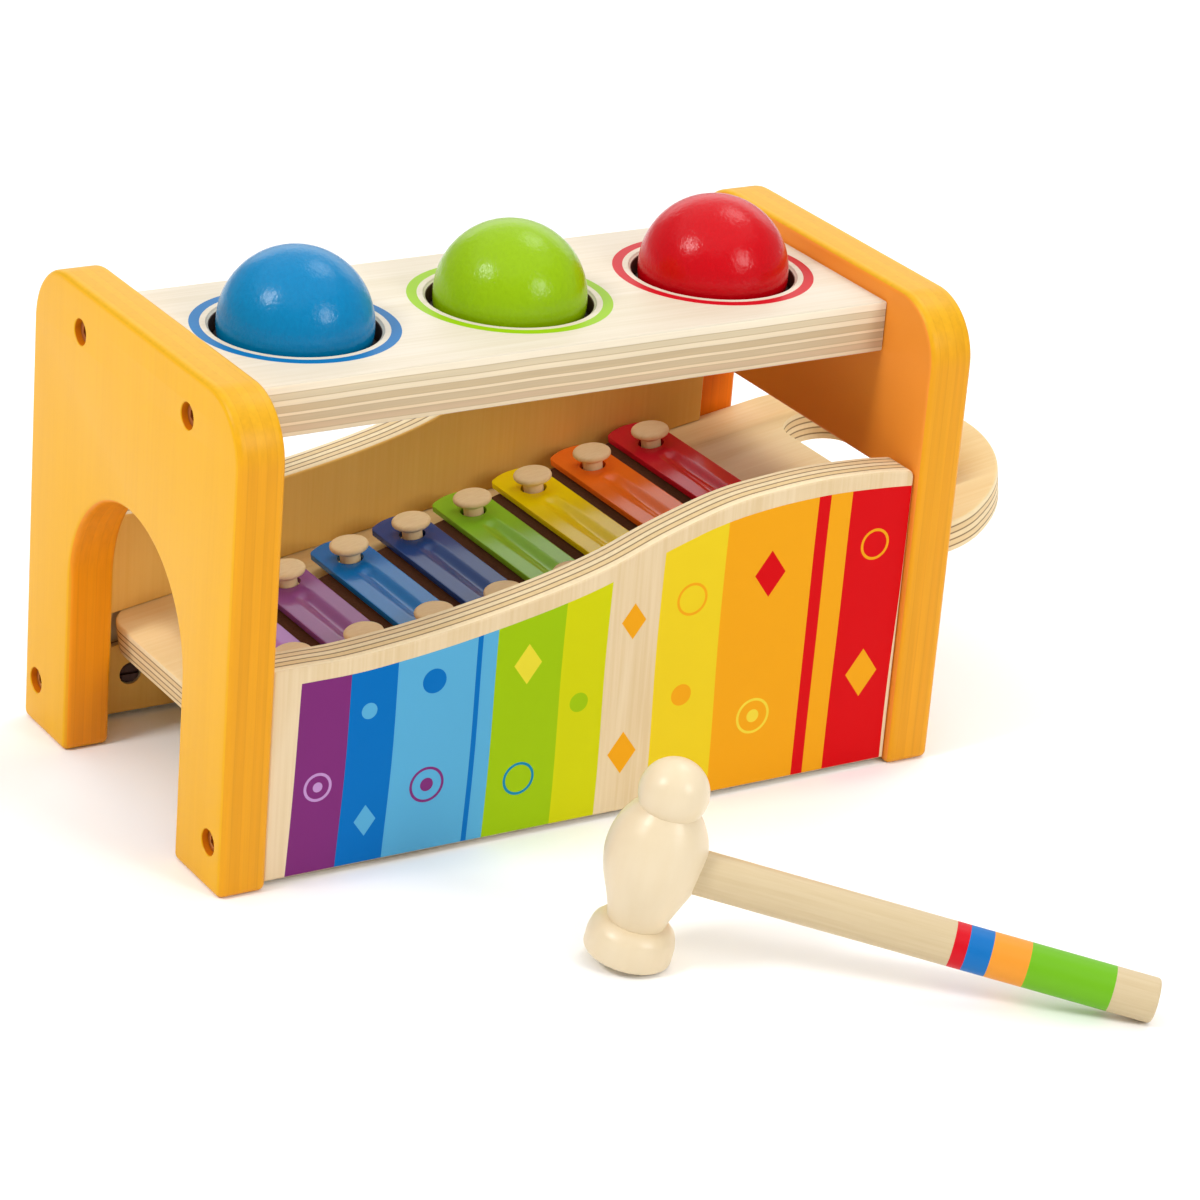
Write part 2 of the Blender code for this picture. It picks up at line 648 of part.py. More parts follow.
def finger_slot():
    """The hand hold near the high end, across the board."""
    slot = stadium(FINGER_SLOT_LENGTH, FINGER_SLOT_WIDTH, 2 * ARC_STEPS)
    centre = SLIDE_LENGTH - FINGER_SLOT_SETBACK
    return [(centre - y, x) for x, y in slot]


def key_position(index):
    """Where a key's centre lies along the board, the longest last."""
    return KEY_FIRST + index * KEY_SPACING


def peg_positions():
    """(name, along, across) of every peg: a front and a back one for each key."""
    found = []
    for index in range(KEY_COUNT):
        across = PEG_FIRST_Y + index * PEG_Y_STEP
        for face, sign in FACES.items():
            found.append((f"peg_{face}_{index + 1}", key_position(index), sign * across))
    return found


def peg_holes_mesh():
    """Every peg's hole in one cutter, through the pad and part way into the board."""
    low, high = -PEG_DEPTH - FIT_GAP, KEY_TOP
    radius = PEG_RADIUS + FIT_GAP
    holes = bmesh.new()
    for _, along, across in peg_positions():
        made = bmesh.ops.create_cone(
            holes,
            cap_ends=True,
            segments=SMALL_ROUND_STEPS,
            radius1=radius,
            radius2=radius,
            depth=high - low,
        )
        bmesh.ops.translate(holes, vec=(along, across, (high + low) / 2), verts=made["verts"])
    mesh = bpy.data.meshes.new("peg_holes")
    holes.to_mesh(mesh)
    holes.free()
    return mesh


def build_slide_board(slide, peg_holes):
    """The sliding board with its finger slot."""
    outlines = [slide_outline(), finger_slot()]
    mesh = plate_mesh("xylophone_board", outlines, SLIDE_THICKNESS, SLIDE_EDGE_ROUND)
    middle = (0, 0, -SLIDE_THICKNESS / 2)
    board = new_piece("xylophone_board", mesh, "plain_plywood", slide, middle)
    cut(board, peg_holes)


def build_pad(slide, peg_holes):
    """The tapered felt pad that the keys lie on."""
    thickness = KEY_TOP - KEY_THICKNESS - 2 * FIT_GAP
    narrow, wide = PAD_START_WIDTH / 2, PAD_END_WIDTH / 2
    inset = KEY_WIDTH / 2 - PAD_END_INSET
    start, end = key_position(0) - inset, key_position(KEY_COUNT - 1) + inset
    outline = [(start, -narrow), (start + PAD_TAPER_LENGTH, -wide), (end, -wide)]
    outline += [(end, wide), (start + PAD_TAPER_LENGTH, wide), (start, narrow)]
    mesh = plate_mesh("felt_pad", [outline], thickness)
    pad = new_piece("felt_pad", mesh, "dark_felt", slide, (0, 0, FIT_GAP + thickness / 2))
    cut(pad, peg_holes)


def key_outline(length):
    """One key across the board: straight sides and slightly bowed ends with eased corners."""
    half_width, half_length = KEY_WIDTH / 2, length / 2
    corner = KEY_CORNER_RADIUS
    bulge = KEY_END_BULGE
    radius = (half_width**2 + bulge**2) / (2 * bulge)
    lean = math.asin((half_width - corner) / radius)
    end = arc((0, half_length - radius), radius, QUARTER_TURN - lean, QUARTER_TURN + lean, ARC_STEPS)
    side = half_length - bulge - corner
    half = [(half_width, -side), (half_width, side)] + end
    return half + [(-x, -y) for x, y in half]


def build_keys(slide):
    """The eight metal keys, each with two peg holes and a pressed channel."""
    middle = KEY_TOP - KEY_THICKNESS / 2
    channel_height = 2 * CUT_OVERRUN
    for index, enamel in enumerate(KEY_ENAMELS):
        name = f"key_{index + 1}"
        across = PEG_FIRST_Y + index * PEG_Y_STEP
        length = KEY_FIRST_LENGTH + index * KEY_LENGTH_STEP
        holes = [circle((0, sign * across), KEY_HOLE_RADIUS) for sign in FACES.values()]
        mesh = plate_mesh(name, [key_outline(length)] + holes, KEY_THICKNESS)
        key = new_piece(name, mesh, f"{enamel}_enamel", slide, (key_position(index), 0, middle))
        slot = [(-y, x) for x, y in stadium(2 * (across - CHANNEL_END_INSET), CHANNEL_WIDTH)]
        channel = plate_mesh(f"{name}_channel", [slot], channel_height, CHANNEL_ROUND)
        place = (key_position(index), 0, KEY_TOP - CHANNEL_DEPTH + channel_height / 2)
        cut(key, new_cutter(f"{name}_channel", channel, slide, place))


def peg_profile():
    """Down the outside of a turned peg: domed head, tapered underside, straight neck."""
    rim = PEG_TOP - PEG_CROWN_HEIGHT
    under = PEG_TOP - PEG_HEAD_HEIGHT
    out, down = PEG_CROWN_SHARES
    points = [(0, PEG_TOP), (out * PEG_HEAD_RADIUS, PEG_TOP - down * PEG_CROWN_HEIGHT)]
    points += [(PEG_HEAD_RADIUS, rim), (PEG_HEAD_RADIUS, rim - PEG_RIM_HEIGHT)]
    points += [(PEG_COLLAR_RADIUS, under), (PEG_RADIUS, under)]
    points += [(PEG_RADIUS, -PEG_DEPTH), (0, -PEG_DEPTH)]
    return points


def build_pegs(slide):
    """The wooden pegs that pass through the keys and keep them in place."""
    mesh = turned_mesh("peg", peg_profile(), SMALL_ROUND_STEPS)
    for name, along, across in peg_positions():
        new_piece(name, mesh, "turned_beech", slide, (along, across, 0))


def mallet_droop():
    """How far the handle slopes down for disc rim and handle end to touch the floor together."""
    across = DISC_REACH - DISC_EDGE_ROUND - (HANDLE_RADIUS - HANDLE_EDGE_ROUND)
    along = HANDLE_REACH - HANDLE_EDGE_ROUND - (DISC_RADIUS - DISC_EDGE_ROUND)
    excess = HANDLE_EDGE_ROUND - DISC_EDGE_ROUND
    return math.acos(excess / math.hypot(across, along)) - math.atan2(along, across)


def mallet_height(droop):
    """The height over the floor at which handle and head axes cross."""
    upright = (DISC_REACH - DISC_EDGE_ROUND) * math.cos(droop)
    sideways = (DISC_RADIUS - DISC_EDGE_ROUND) * math.sin(droop)
    return upright + sideways + DISC_EDGE_ROUND


def head_profile():
    """Down the outside of the mallet's head: ball, neck, barrel, waist and striking disc."""
    ball, centre, edge = HEAD_BALL_RADIUS, HEAD_BALL_CENTRE, DISC_EDGE_ROUND
    crease = -math.acos(NECK_RADIUS / ball)
    neck_height = centre + ball * math.sin(crease)
    waist_height = DISC_HEIGHT - DISC_REACH
    swell, rise = BARREL_RADIUS - WAIST_RADIUS, neck_height - waist_height
    points = arc((0, centre), ball, QUARTER_TURN, crease, ARCH_STEPS)
    points += [(WAIST_RADIUS + out * swell, waist_height + up * rise) for out, up in BARREL_SHARES]
    points.append((WAIST_RADIUS, waist_height))
    points += [(out * DISC_RADIUS, up * DISC_HEIGHT - DISC_REACH) for out, up in SHOULDER_SHARES]
    points += arc((DISC_RADIUS - edge, edge - DISC_REACH), edge, 0, -QUARTER_TURN, EDGE_STEPS)
    return points + [(0, -DISC_REACH)]


def build_mallet():
    """The mallet: a turned head with a socket, and the handle glued into it."""
    droop = mallet_droop()
    place = Vector((MALLET_CENTRE_X, MALLET_CENTRE_Y, mallet_height(droop))) + Vector(BENCH_CENTRE)
    mallet = new_anchor("mallet", place, (0, droop, MALLET_HEADING))
    head_mesh = turned_mesh("mallet_head", head_profile(), BALL_STEPS)
    head = new_piece("mallet_head", head_mesh, "lacquered_maple", mallet)
    reach, radius, edge = HANDLE_REACH, HANDLE_RADIUS, HANDLE_EDGE_ROUND
    profile = [(0, reach)] + arc((radius - edge, reach - edge), edge, QUARTER_TURN, 0, EDGE_STEPS)
    profile += [(radius, -HANDLE_TENON), (0, -HANDLE_TENON)]
    handle_mesh = turned_mesh("mallet_handle", profile, BALL_STEPS)
    lay = (0, QUARTER_TURN, 0)
    new_piece("mallet_handle", handle_mesh, "banded_beech", mallet, (0, 0, 0), lay)
    wide, deep = radius + FIT_GAP, -HANDLE_TENON - FIT_GAP
    socket = [(0, reach), (wide, reach), (wide, deep), (0, deep)]
    shape = turned_mesh("handle_socket", socket, BALL_STEPS)
    cut(head, new_cutter("handle_socket", shape, mallet, (0, 0, 0), lay))


def build_bench():
    """The standing bench with its balls."""
    bench = new_anchor("bench", BENCH_CENTRE)
    slide = new_anchor("slide", (SLIDE_END_X, 0, SLIDE_END_Z), (0, -SLIDE_ANGLE, 0), bench)
    panels = build_end_panels(bench)
    walls = build_walls(bench, slide)
    top = build_top(bench)
    bolt_bores = build_fasteners(bench, panels, walls, top)
    build_barrel_nuts(bench, walls, bolt_bores)
    build_rings(bench)
    build_balls(bench)
    return slide


def build_xylophone(slide):
    """The board that slides out, with its keys."""
    peg_holes = new_cutter("peg_holes", peg_holes_mesh(), slide)
    build_slide_board(slide, peg_holes)
    build_pad(slide, peg_holes)
    build_keys(slide)
    build_pegs(slide)


clear_scene()
PIECES = new_collection("pounding_bench", True)
CUTTERS = new_collection("cutters", False)
for material_name, values in MATERIALS.items():
    new_material(material_name, *values)
build_xylophone(build_bench())
build_mallet()
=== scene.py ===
"""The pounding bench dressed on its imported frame: finer pieces, their finishes, a pale floor, light and camera."""

import bmesh
import bpy
import numpy as np
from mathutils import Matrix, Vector
from mathutils.geometry import tessellate_polygon


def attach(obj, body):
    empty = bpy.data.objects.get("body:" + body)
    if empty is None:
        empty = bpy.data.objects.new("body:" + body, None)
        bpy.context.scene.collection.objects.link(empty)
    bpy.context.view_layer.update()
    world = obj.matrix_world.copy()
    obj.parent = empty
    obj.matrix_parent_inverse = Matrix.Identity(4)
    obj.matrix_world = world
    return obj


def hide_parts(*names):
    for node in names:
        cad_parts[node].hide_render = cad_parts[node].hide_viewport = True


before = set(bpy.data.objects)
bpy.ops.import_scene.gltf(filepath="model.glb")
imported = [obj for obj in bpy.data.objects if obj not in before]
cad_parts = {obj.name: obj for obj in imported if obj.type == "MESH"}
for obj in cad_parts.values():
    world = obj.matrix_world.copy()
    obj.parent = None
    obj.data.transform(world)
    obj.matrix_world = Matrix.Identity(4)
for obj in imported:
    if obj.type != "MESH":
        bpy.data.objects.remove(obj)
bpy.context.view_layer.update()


# Camera: the viewpoint of the photograph, solved from the bench's straight edges. A long lens from a
# little over a metre off, turned to the bench's left end, looking down and rolled slightly.
azimuth, elevation, roll = np.radians((-33.01, 23.60, 4.74))
ahead = np.array((-np.sin(azimuth) * np.cos(elevation), np.cos(azimuth) * np.cos(elevation), -np.sin(elevation)))
level = np.array((np.cos(azimuth), np.sin(azimuth), 0.0))
upright = np.cross(level, ahead)
aim = np.eye(4)
aim[:3, 0] = np.cos(roll) * level + np.sin(roll) * upright
aim[:3, 1] = np.cos(roll) * upright - np.sin(roll) * level
aim[:3, 2] = -ahead
aim[:3, 3] = (-0.68615, -0.99175, 0.60266)
camera = bpy.data.objects.new("photo_camera", bpy.data.cameras.new("photo_camera"))
camera.data.lens = 131.77
camera.data.sensor_width = 36.0
camera.data.clip_end = 50.0
bpy.context.scene.collection.objects.link(camera)
camera.matrix_world = aim.T.tolist()
bpy.context.scene.camera = camera
bpy.context.scene.view_settings.view_transform = "Standard"


# Studio: a plain pale floor that reaches past the view on every side. One soft box stands to the left, one
# beside the camera, one hangs behind over a lit white screen and a broad one overhead, in an evenly white room.
def linear(code):
    """An sRGB hex colour as linear RGBA: each channel c is c/12.92 below 0.04045 and ((c+0.055)/1.055)^2.4 above."""
    part = np.array([int(code[i:i + 2], 16) for i in (1, 3, 5)]) / 255
    part = np.where(part <= 0.04045, part / 12.92, ((part + 0.055) / 1.055) ** 2.4)
    return (*part.tolist(), 1.0)


def add_node(tree, kind, sockets=None, **settings):
    """Adds one shader node: settings are its properties; sockets gives each input a value or the output to link."""
    made = tree.nodes.new("ShaderNode" + kind)
    for name, value in settings.items():
        setattr(made, name, value)
    for name, value in (sockets or {}).items():
        if isinstance(value, bpy.types.NodeSocket):
            tree.links.new(value, made.inputs[name])
        else:
            made.inputs[name].default_value = value
    return made


def new_finish(name, roughness, **sockets):
    """A material with one Principled shader; returns the material, its tree and the shader."""
    made = bpy.data.materials.new(name)
    made.use_nodes = True
    shader = made.node_tree.nodes["Principled BSDF"]
    shader.inputs["Roughness"].default_value = roughness
    for socket, value in sockets.items():
        shader.inputs[socket.replace("_", " ")].default_value = value
    return made, made.node_tree, shader


FLOOR_REACH = 6.0
floor_mesh = bpy.data.meshes.new("floor")
floor_corners = [(x * FLOOR_REACH, y * FLOOR_REACH, 0) for x, y in ((-1, -1), (1, -1), (1, 1), (-1, 1))]
floor_mesh.from_pydata(floor_corners, [], [(0, 1, 2, 3)])
floor = bpy.data.objects.new("floor", floor_mesh)
bpy.context.scene.collection.objects.link(floor)
paper, *_ = new_finish("white_studio_paper", 0.9, Base_Color=linear("#FFFFFF"), Specular_IOR_Level=0.1)
floor_mesh.materials.append(paper)

room = bpy.data.worlds.new("white_room")
room.use_nodes = True
room.node_tree.nodes["Background"].inputs["Color"].default_value = linear("#FFFFFF")
room.node_tree.nodes["Background"].inputs["Strength"].default_value = 0.42
bpy.context.scene.world = room

lit_spot = Vector((-0.02, 0.05, 0.08))
for name, place, size, power in (
    ("left_softbox", (-1.60, 0.0, 1.68), (0.5, 0.5), 19),
    ("front_softbox", (0.62, -1.70, 1.14), (0.56, 0.72), 14),
    ("back_softbox", (1.20, 0.60, 2.15), (0.9, 0.9), 10),
    ("top_softbox", (-0.1, 0.3, 3.6), (7.0, 7.0), 102),
    ("back_screen", (1.05, 1.62, 0.86), (2.6, 1.0), 9),
):
    lamp = bpy.data.lights.new(name, "AREA")
    lamp.shape = "RECTANGLE"
    lamp.size, lamp.size_y = size
    lamp.energy = power
    holder = bpy.data.objects.new(name, lamp)
    bpy.context.scene.collection.objects.link(holder)
    holder.location = place
    holder.rotation_euler = (lit_spot - Vector(place)).to_track_quat("-Z", "Y").to_euler()


# End panels: two 15.5 mm birch plywood uprights with rounded corners and edges, stained amber and lacquered
# satin, so that only a trace of the veneer's streaks shows. The left one has the arch, the right one the window
# for the slide, and both are counterbored for the screws. BENCH is the bench's middle on the floor.
BENCH = np.array((-26.96, 87.26, 0.0))


def arc(centre, radius, start, end, steps):
    """Points on a circle about centre, from start to end in degrees, both included."""
    turn = np.radians(np.linspace(start, end, steps + 1))
    return np.column_stack((centre[0] + radius * np.cos(turn), centre[1] + radius * np.sin(turn)))


def mirrored(half):
    """The right half of an outline followed by the same points turned over to the left, in reverse."""
    return np.vstack((half, half[::-1] * (-1, 1)))


def plate(outline, half, edge, bores=(), steps=5, around=48):
    """A flat board about z = 0. Its rim is a quarter-round of radius edge at each face, carried round the outline:
    inset edge(1 - sin a), height half - edge(1 - cos a). Each bore is a (radius, height) profile turned about its
    centre from the top face to the bottom one. The flat faces between rim and bores are filled with triangles."""
    ahead = np.roll(outline, -1, axis=0) - outline
    side = np.column_stack((ahead[:, 1], -ahead[:, 0])) / np.linalg.norm(ahead, axis=1)[:, None]
    before = np.roll(side, 1, axis=0)
    mitre = (side + before) / (1 + (side * before).sum(axis=1))[:, None]
    a = np.linspace(0, np.pi / 2, steps + 1)
    inset = np.concatenate((edge * (1 - np.sin(a)), edge * (1 - np.sin(a[::-1]))))
    height = np.concatenate((half - edge * (1 - np.cos(a)), edge * (1 - np.cos(a[::-1])) - half))
    rim = outline[None] - inset[:, None, None] * mitre[None]
    rows = [np.dstack((rim, np.repeat(height[:, None], len(outline), axis=1)))]
    turn = np.linspace(0, 2 * np.pi, around, endpoint=False)
    for centre, profile in bores:
        radius, level = np.array(profile, float).T
        ring = np.stack((np.cos(turn), np.sin(turn)), axis=1)
        flat = np.array(centre) + radius[:, None, None] * ring[None]
        rows.append(np.dstack((flat, np.repeat(level[:, None], around, axis=1))))
    points, faces, smooth, tops, bottoms, start = [], [], [], [], [], 0
    for index, grid in enumerate(rows):
        down, round_ = grid.shape[:2]
        k, i = np.meshgrid(np.arange(down - 1), np.arange(round_), indexing="ij")
        j = (i + 1) % round_
        quads = np.stack((k * round_ + i, (k + 1) * round_ + i, (k + 1) * round_ + j, k * round_ + j), axis=-1)
        quads = quads.reshape(-1, 4)[:, ::1 if index == 0 else -1] + start
        points.append(grid.reshape(-1, 3))
        faces += quads.tolist()
        smooth += [True] * len(quads)
        tops.append(start + np.arange(round_))
        bottoms.append(start + (down - 1) * round_ + np.arange(round_))
        start += down * round_
    points = np.vstack(points)
    for loops, facing in ((tops, 1), (bottoms, -1)):
        order = np.concatenate(loops)
        filled = tessellate_polygon([[Vector(points[i]) for i in loop] for loop in loops])
        corners = order[np.array(filled)]
        a, b, c = (points[corners[:, n], :2] for n in range(3))
        area = (b[:, 0] - a[:, 0]) * (c[:, 1] - a[:, 1]) - (b[:, 1] - a[:, 1]) * (c[:, 0] - a[:, 0])
        corners[area * facing < 0] = corners[area * facing < 0][:, ::-1]
        corners = corners[np.abs(area) > 1e-9]
        faces += corners.tolist()
        smooth += [False] * len(corners)
    return points, faces, smooth


def placed_mesh(name, points, faces, place):
    """A mesh of points in mm, which the 3 x 4 place turns and moves: each becomes its axes . point + its origin."""
    mesh = bpy.data.meshes.new(name)
    mesh.from_pydata(((points @ place[:, :3].T + place[:, 3]) * 0.001).tolist(), [], faces)
    return mesh


def sew(mesh, outward=False):
    """Merges a mesh's double points, drops what has no size and, if asked, turns its faces outwards."""
    sewn = bmesh.new()
    sewn.from_mesh(mesh)
    bmesh.ops.remove_doubles(sewn, verts=sewn.verts, dist=1e-7)
    bmesh.ops.dissolve_degenerate(sewn, edges=sewn.edges, dist=1e-8)
    if outward:
        bmesh.ops.recalc_face_normals(sewn, faces=sewn.faces)
    sewn.to_mesh(mesh)
    sewn.free()


def new_piece(name, shape, finish, body, nodes, place, sharp=35):
    """Puts a shape of (points in mm, faces, smooth flags) into a mesh at its place, and lets it ride on a body in
    the stead of the CAD nodes."""
    points, faces, smooth = shape
    mesh = placed_mesh(name, points, faces, place)
    mesh.polygons.foreach_set("use_smooth", smooth)
    sew(mesh)
    mesh.set_sharp_from_angle(angle=np.radians(sharp))
    mesh.materials.append(finish)
    made = bpy.data.objects.new(name, mesh)
    bpy.context.scene.collection.objects.link(made)
    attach(made, body)
    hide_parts(*nodes)
    return made


def frame_of(x_axis, y_axis, origin):
    """A 3 x 4 placing from two axes, their cross product and an origin in bench millimetres."""
    x_axis, y_axis = np.array(x_axis, float), np.array(y_axis, float)
    return np.column_stack((x_axis, y_axis, np.cross(x_axis, y_axis), BENCH + origin))


def own_axes(tree, origin, directions):
    """Object coordinates from an origin in mm along a piece's own three directions: (place - origin) . direction.
    Returns them as one vector and as a list."""
    here = add_node(tree, "TexCoord").outputs["Object"]
    local = add_node(tree, "VectorMath", {0: here, 1: (origin * 0.001).tolist()}, operation="SUBTRACT").outputs[0]
    lengths = [
        add_node(tree, "VectorMath", {0: local, 1: direction.tolist()}, operation="DOT_PRODUCT").outputs["Value"]
        for direction in directions
    ]
    return add_node(tree, "CombineXYZ", dict(zip("XYZ", lengths))).outputs[0], lengths


VENEER = 0.35


def plywood(name, start, through, grain, thick, veneer, plies, glue, painted_inner_shade=None, line=0.3, gloss=0.12, laid=None):
    """Lacquered plywood: the satin lacquer gives the wood a soft sheen and no mirror image. through points across
    the plies from start on one face (mm, bench), grain along the face veneer. Depth/thickness picks the ply from a
    ramp, with a soft glue line between plies, line mm to each side, that wanders by a quarter of a millimetre. laid
    gives the plies' thicknesses where they differ. The colours for the face where depth is 0, if given, paint that
    face apart from the other, as shade with warm bounce light."""
    made, tree, shader = new_finish(name, 0.40, Specular_IOR_Level=gloss)
    through, grain = np.array(through, float), np.array(grain, float)
    turned, (_, _, depth) = own_axes(tree, BENCH + start, (grain, np.cross(through, grain), through))
    wander = add_node(tree, "TexNoise", {"Vector": turned, "Scale": 22.0, "Detail": 2.0}).outputs[0]
    wander = add_node(tree, "Math", {0: wander, 1: -0.5}, operation="ADD").outputs[0]
    wander = add_node(tree, "Math", {0: wander, 1: 0.0008, 2: depth}, operation="MULTIPLY_ADD").outputs[0]
    level = add_node(tree, "Math", {0: wander, 1: 1000 / thick}, operation="MULTIPLY").outputs[0]
    ramp = add_node(tree, "ValToRGB", {"Fac": level})
    stops, limits = [], np.cumsum(laid or [thick / len(plies)] * len(plies)) / thick
    for index, at in enumerate(limits[:-1], 1):
        stops += [(at - line / thick, plies[index - 1]), (at, glue), (at + line / thick, plies[index])]
    ramp.color_ramp.elements[0].color = linear(plies[0])
    ramp.color_ramp.elements.remove(ramp.color_ramp.elements[1])
    for at, shade in stops:
        ramp.color_ramp.elements.new(at).color = linear(shade)

    # Birch's pores, about 0.1 mm wide, are too fine to show. The streaks are drawn 1.5 mm apart across the grain
    # and 60 mm long instead, over a broader figure 14 mm wide and 110 mm long.
    fine = add_node(tree, "Mapping", {"Vector": turned, "Scale": (16.0, 650.0, 650.0)}).outputs[0]
    streak = add_node(tree, "TexNoise", {"Vector": fine, "Scale": 1.0, "Detail": 3.0, "Roughness": 0.6}).outputs[0]
    broad = add_node(tree, "Mapping", {"Vector": turned, "Scale": (9.0, 70.0, 70.0)}).outputs[0]
    figure = add_node(tree, "TexNoise", {"Vector": broad, "Scale": 1.0, "Detail": 2.0, "Distortion": 0.6}).outputs[0]
    blend = add_node(tree, "Math", {0: streak, 1: figure}, operation="ADD").outputs[0]
    blend = add_node(tree, "MapRange", {"Value": blend, "From Min": 0.75, "From Max": 1.25}).outputs[0]
    low, high = (linear(shade) for shade in veneer)
    face = add_node(tree, "Mix", {"Factor": blend, 6: low, 7: high}, data_type="RGBA").outputs[2]
    middle = add_node(tree, "Math", {0: depth, 1: thick * 0.0005}, operation="SUBTRACT").outputs[0]
    # Painted shade with warm bounce light: the face where depth is 0 takes its own pair of colours.
    if painted_inner_shade:
        low, high = (linear(shade) for shade in painted_inner_shade)
        painted_shade_face = add_node(tree, "Mix", {"Factor": blend, 6: low, 7: high}, data_type="RGBA").outputs[2]
        near = add_node(tree, "Math", {0: middle, 1: 0.0}, operation="LESS_THAN").outputs[0]
        face = add_node(tree, "Mix", {"Factor": near, 6: face, 7: painted_shade_face}, data_type="RGBA").outputs[2]
    off = add_node(tree, "Math", {0: middle}, operation="ABSOLUTE").outputs[0]
    skin = add_node(tree, "Math", {0: off, 1: (thick / 2 - VENEER) * 0.001}, operation="GREATER_THAN").outputs[0]
    fibre = {"Value": streak, "From Min": 0.3, "From Max": 0.7, "To Min": 0.94, "To Max": 1.04}
    fibre = add_node(tree, "MapRange", fibre).outputs[0]
    edge = add_node(tree, "VectorMath", {0: ramp.outputs["Color"], 3: fibre}, operation="SCALE").outputs[0]
    colour = add_node(tree, "Mix", {"Factor": skin, 6: edge, 7: face}, data_type="RGBA").outputs[2]
    tree.links.new(colour, shader.inputs["Base Color"])
    bump = add_node(tree, "Bump", {"Height": streak, "Strength": 0.10, "Distance": 0.0002}).outputs[0]
    tree.links.new(bump, shader.inputs["Normal"])
    return made, tree, shader, colour


PANEL_THICK, PANEL_HEIGHT, PANEL_REACH, PANEL_OUTER = 15.5, 154.3, 68.8, 126.7
PANEL_MIDDLE, PANEL_INNER = PANEL_OUTER - PANEL_THICK / 2, PANEL_OUTER - PANEL_THICK
PANEL_EDGE, TOP_CORNER, FOOT_CORNER, ARCH_REACH, ARCH_SPRING = 2.0, 20.0, 2.5, 38.4, 57.9
WINDOW_REACH, WINDOW_TOP, WINDOW_FOOT, WINDOW_CORNER = 58.5, 94.8, 53.7, 6.0
leg = np.vstack((
    arc((ARCH_REACH + FOOT_CORNER, FOOT_CORNER), FOOT_CORNER, 180, 270, 6),
    arc((PANEL_REACH - FOOT_CORNER, FOOT_CORNER), FOOT_CORNER, -90, 0, 6),
    arc((PANEL_REACH - TOP_CORNER, PANEL_HEIGHT - TOP_CORNER), TOP_CORNER, 0, 90, 24),
))
arch = mirrored(np.vstack((arc((0, ARCH_SPRING), ARCH_REACH, 90, 0, 40), leg)))[:-1]
window = mirrored(np.vstack((
    arc((WINDOW_REACH - WINDOW_CORNER, WINDOW_TOP - WINDOW_CORNER), WINDOW_CORNER, 90, 0, 12),
    arc((WINDOW_REACH - WINDOW_CORNER, WINDOW_FOOT + WINDOW_CORNER), WINDOW_CORNER, 0, -90, 12),
    arc((ARCH_REACH + WINDOW_CORNER, WINDOW_FOOT - WINDOW_CORNER), WINDOW_CORNER, 90, 180, 12),
    leg,
)))
SCREW_SPOTS = (("top_screw", 35.95, 140.2), ("wall_bolt", 60.25, 15.3))
HEAD_BORE, SHANK_BORE, SEAT = 4.1, 2.3, 2.85
panel_half = PANEL_THICK / 2
screw_bore = [(HEAD_BORE + 0.2, panel_half), (HEAD_BORE, panel_half - 0.25), (HEAD_BORE, SEAT)]
screw_bore += [(SHANK_BORE, SEAT), (SHANK_BORE, -panel_half)]
counterbores = [((sign * reach, height), screw_bore) for _, reach, height in SCREW_SPOTS for sign in (-1, 1)]
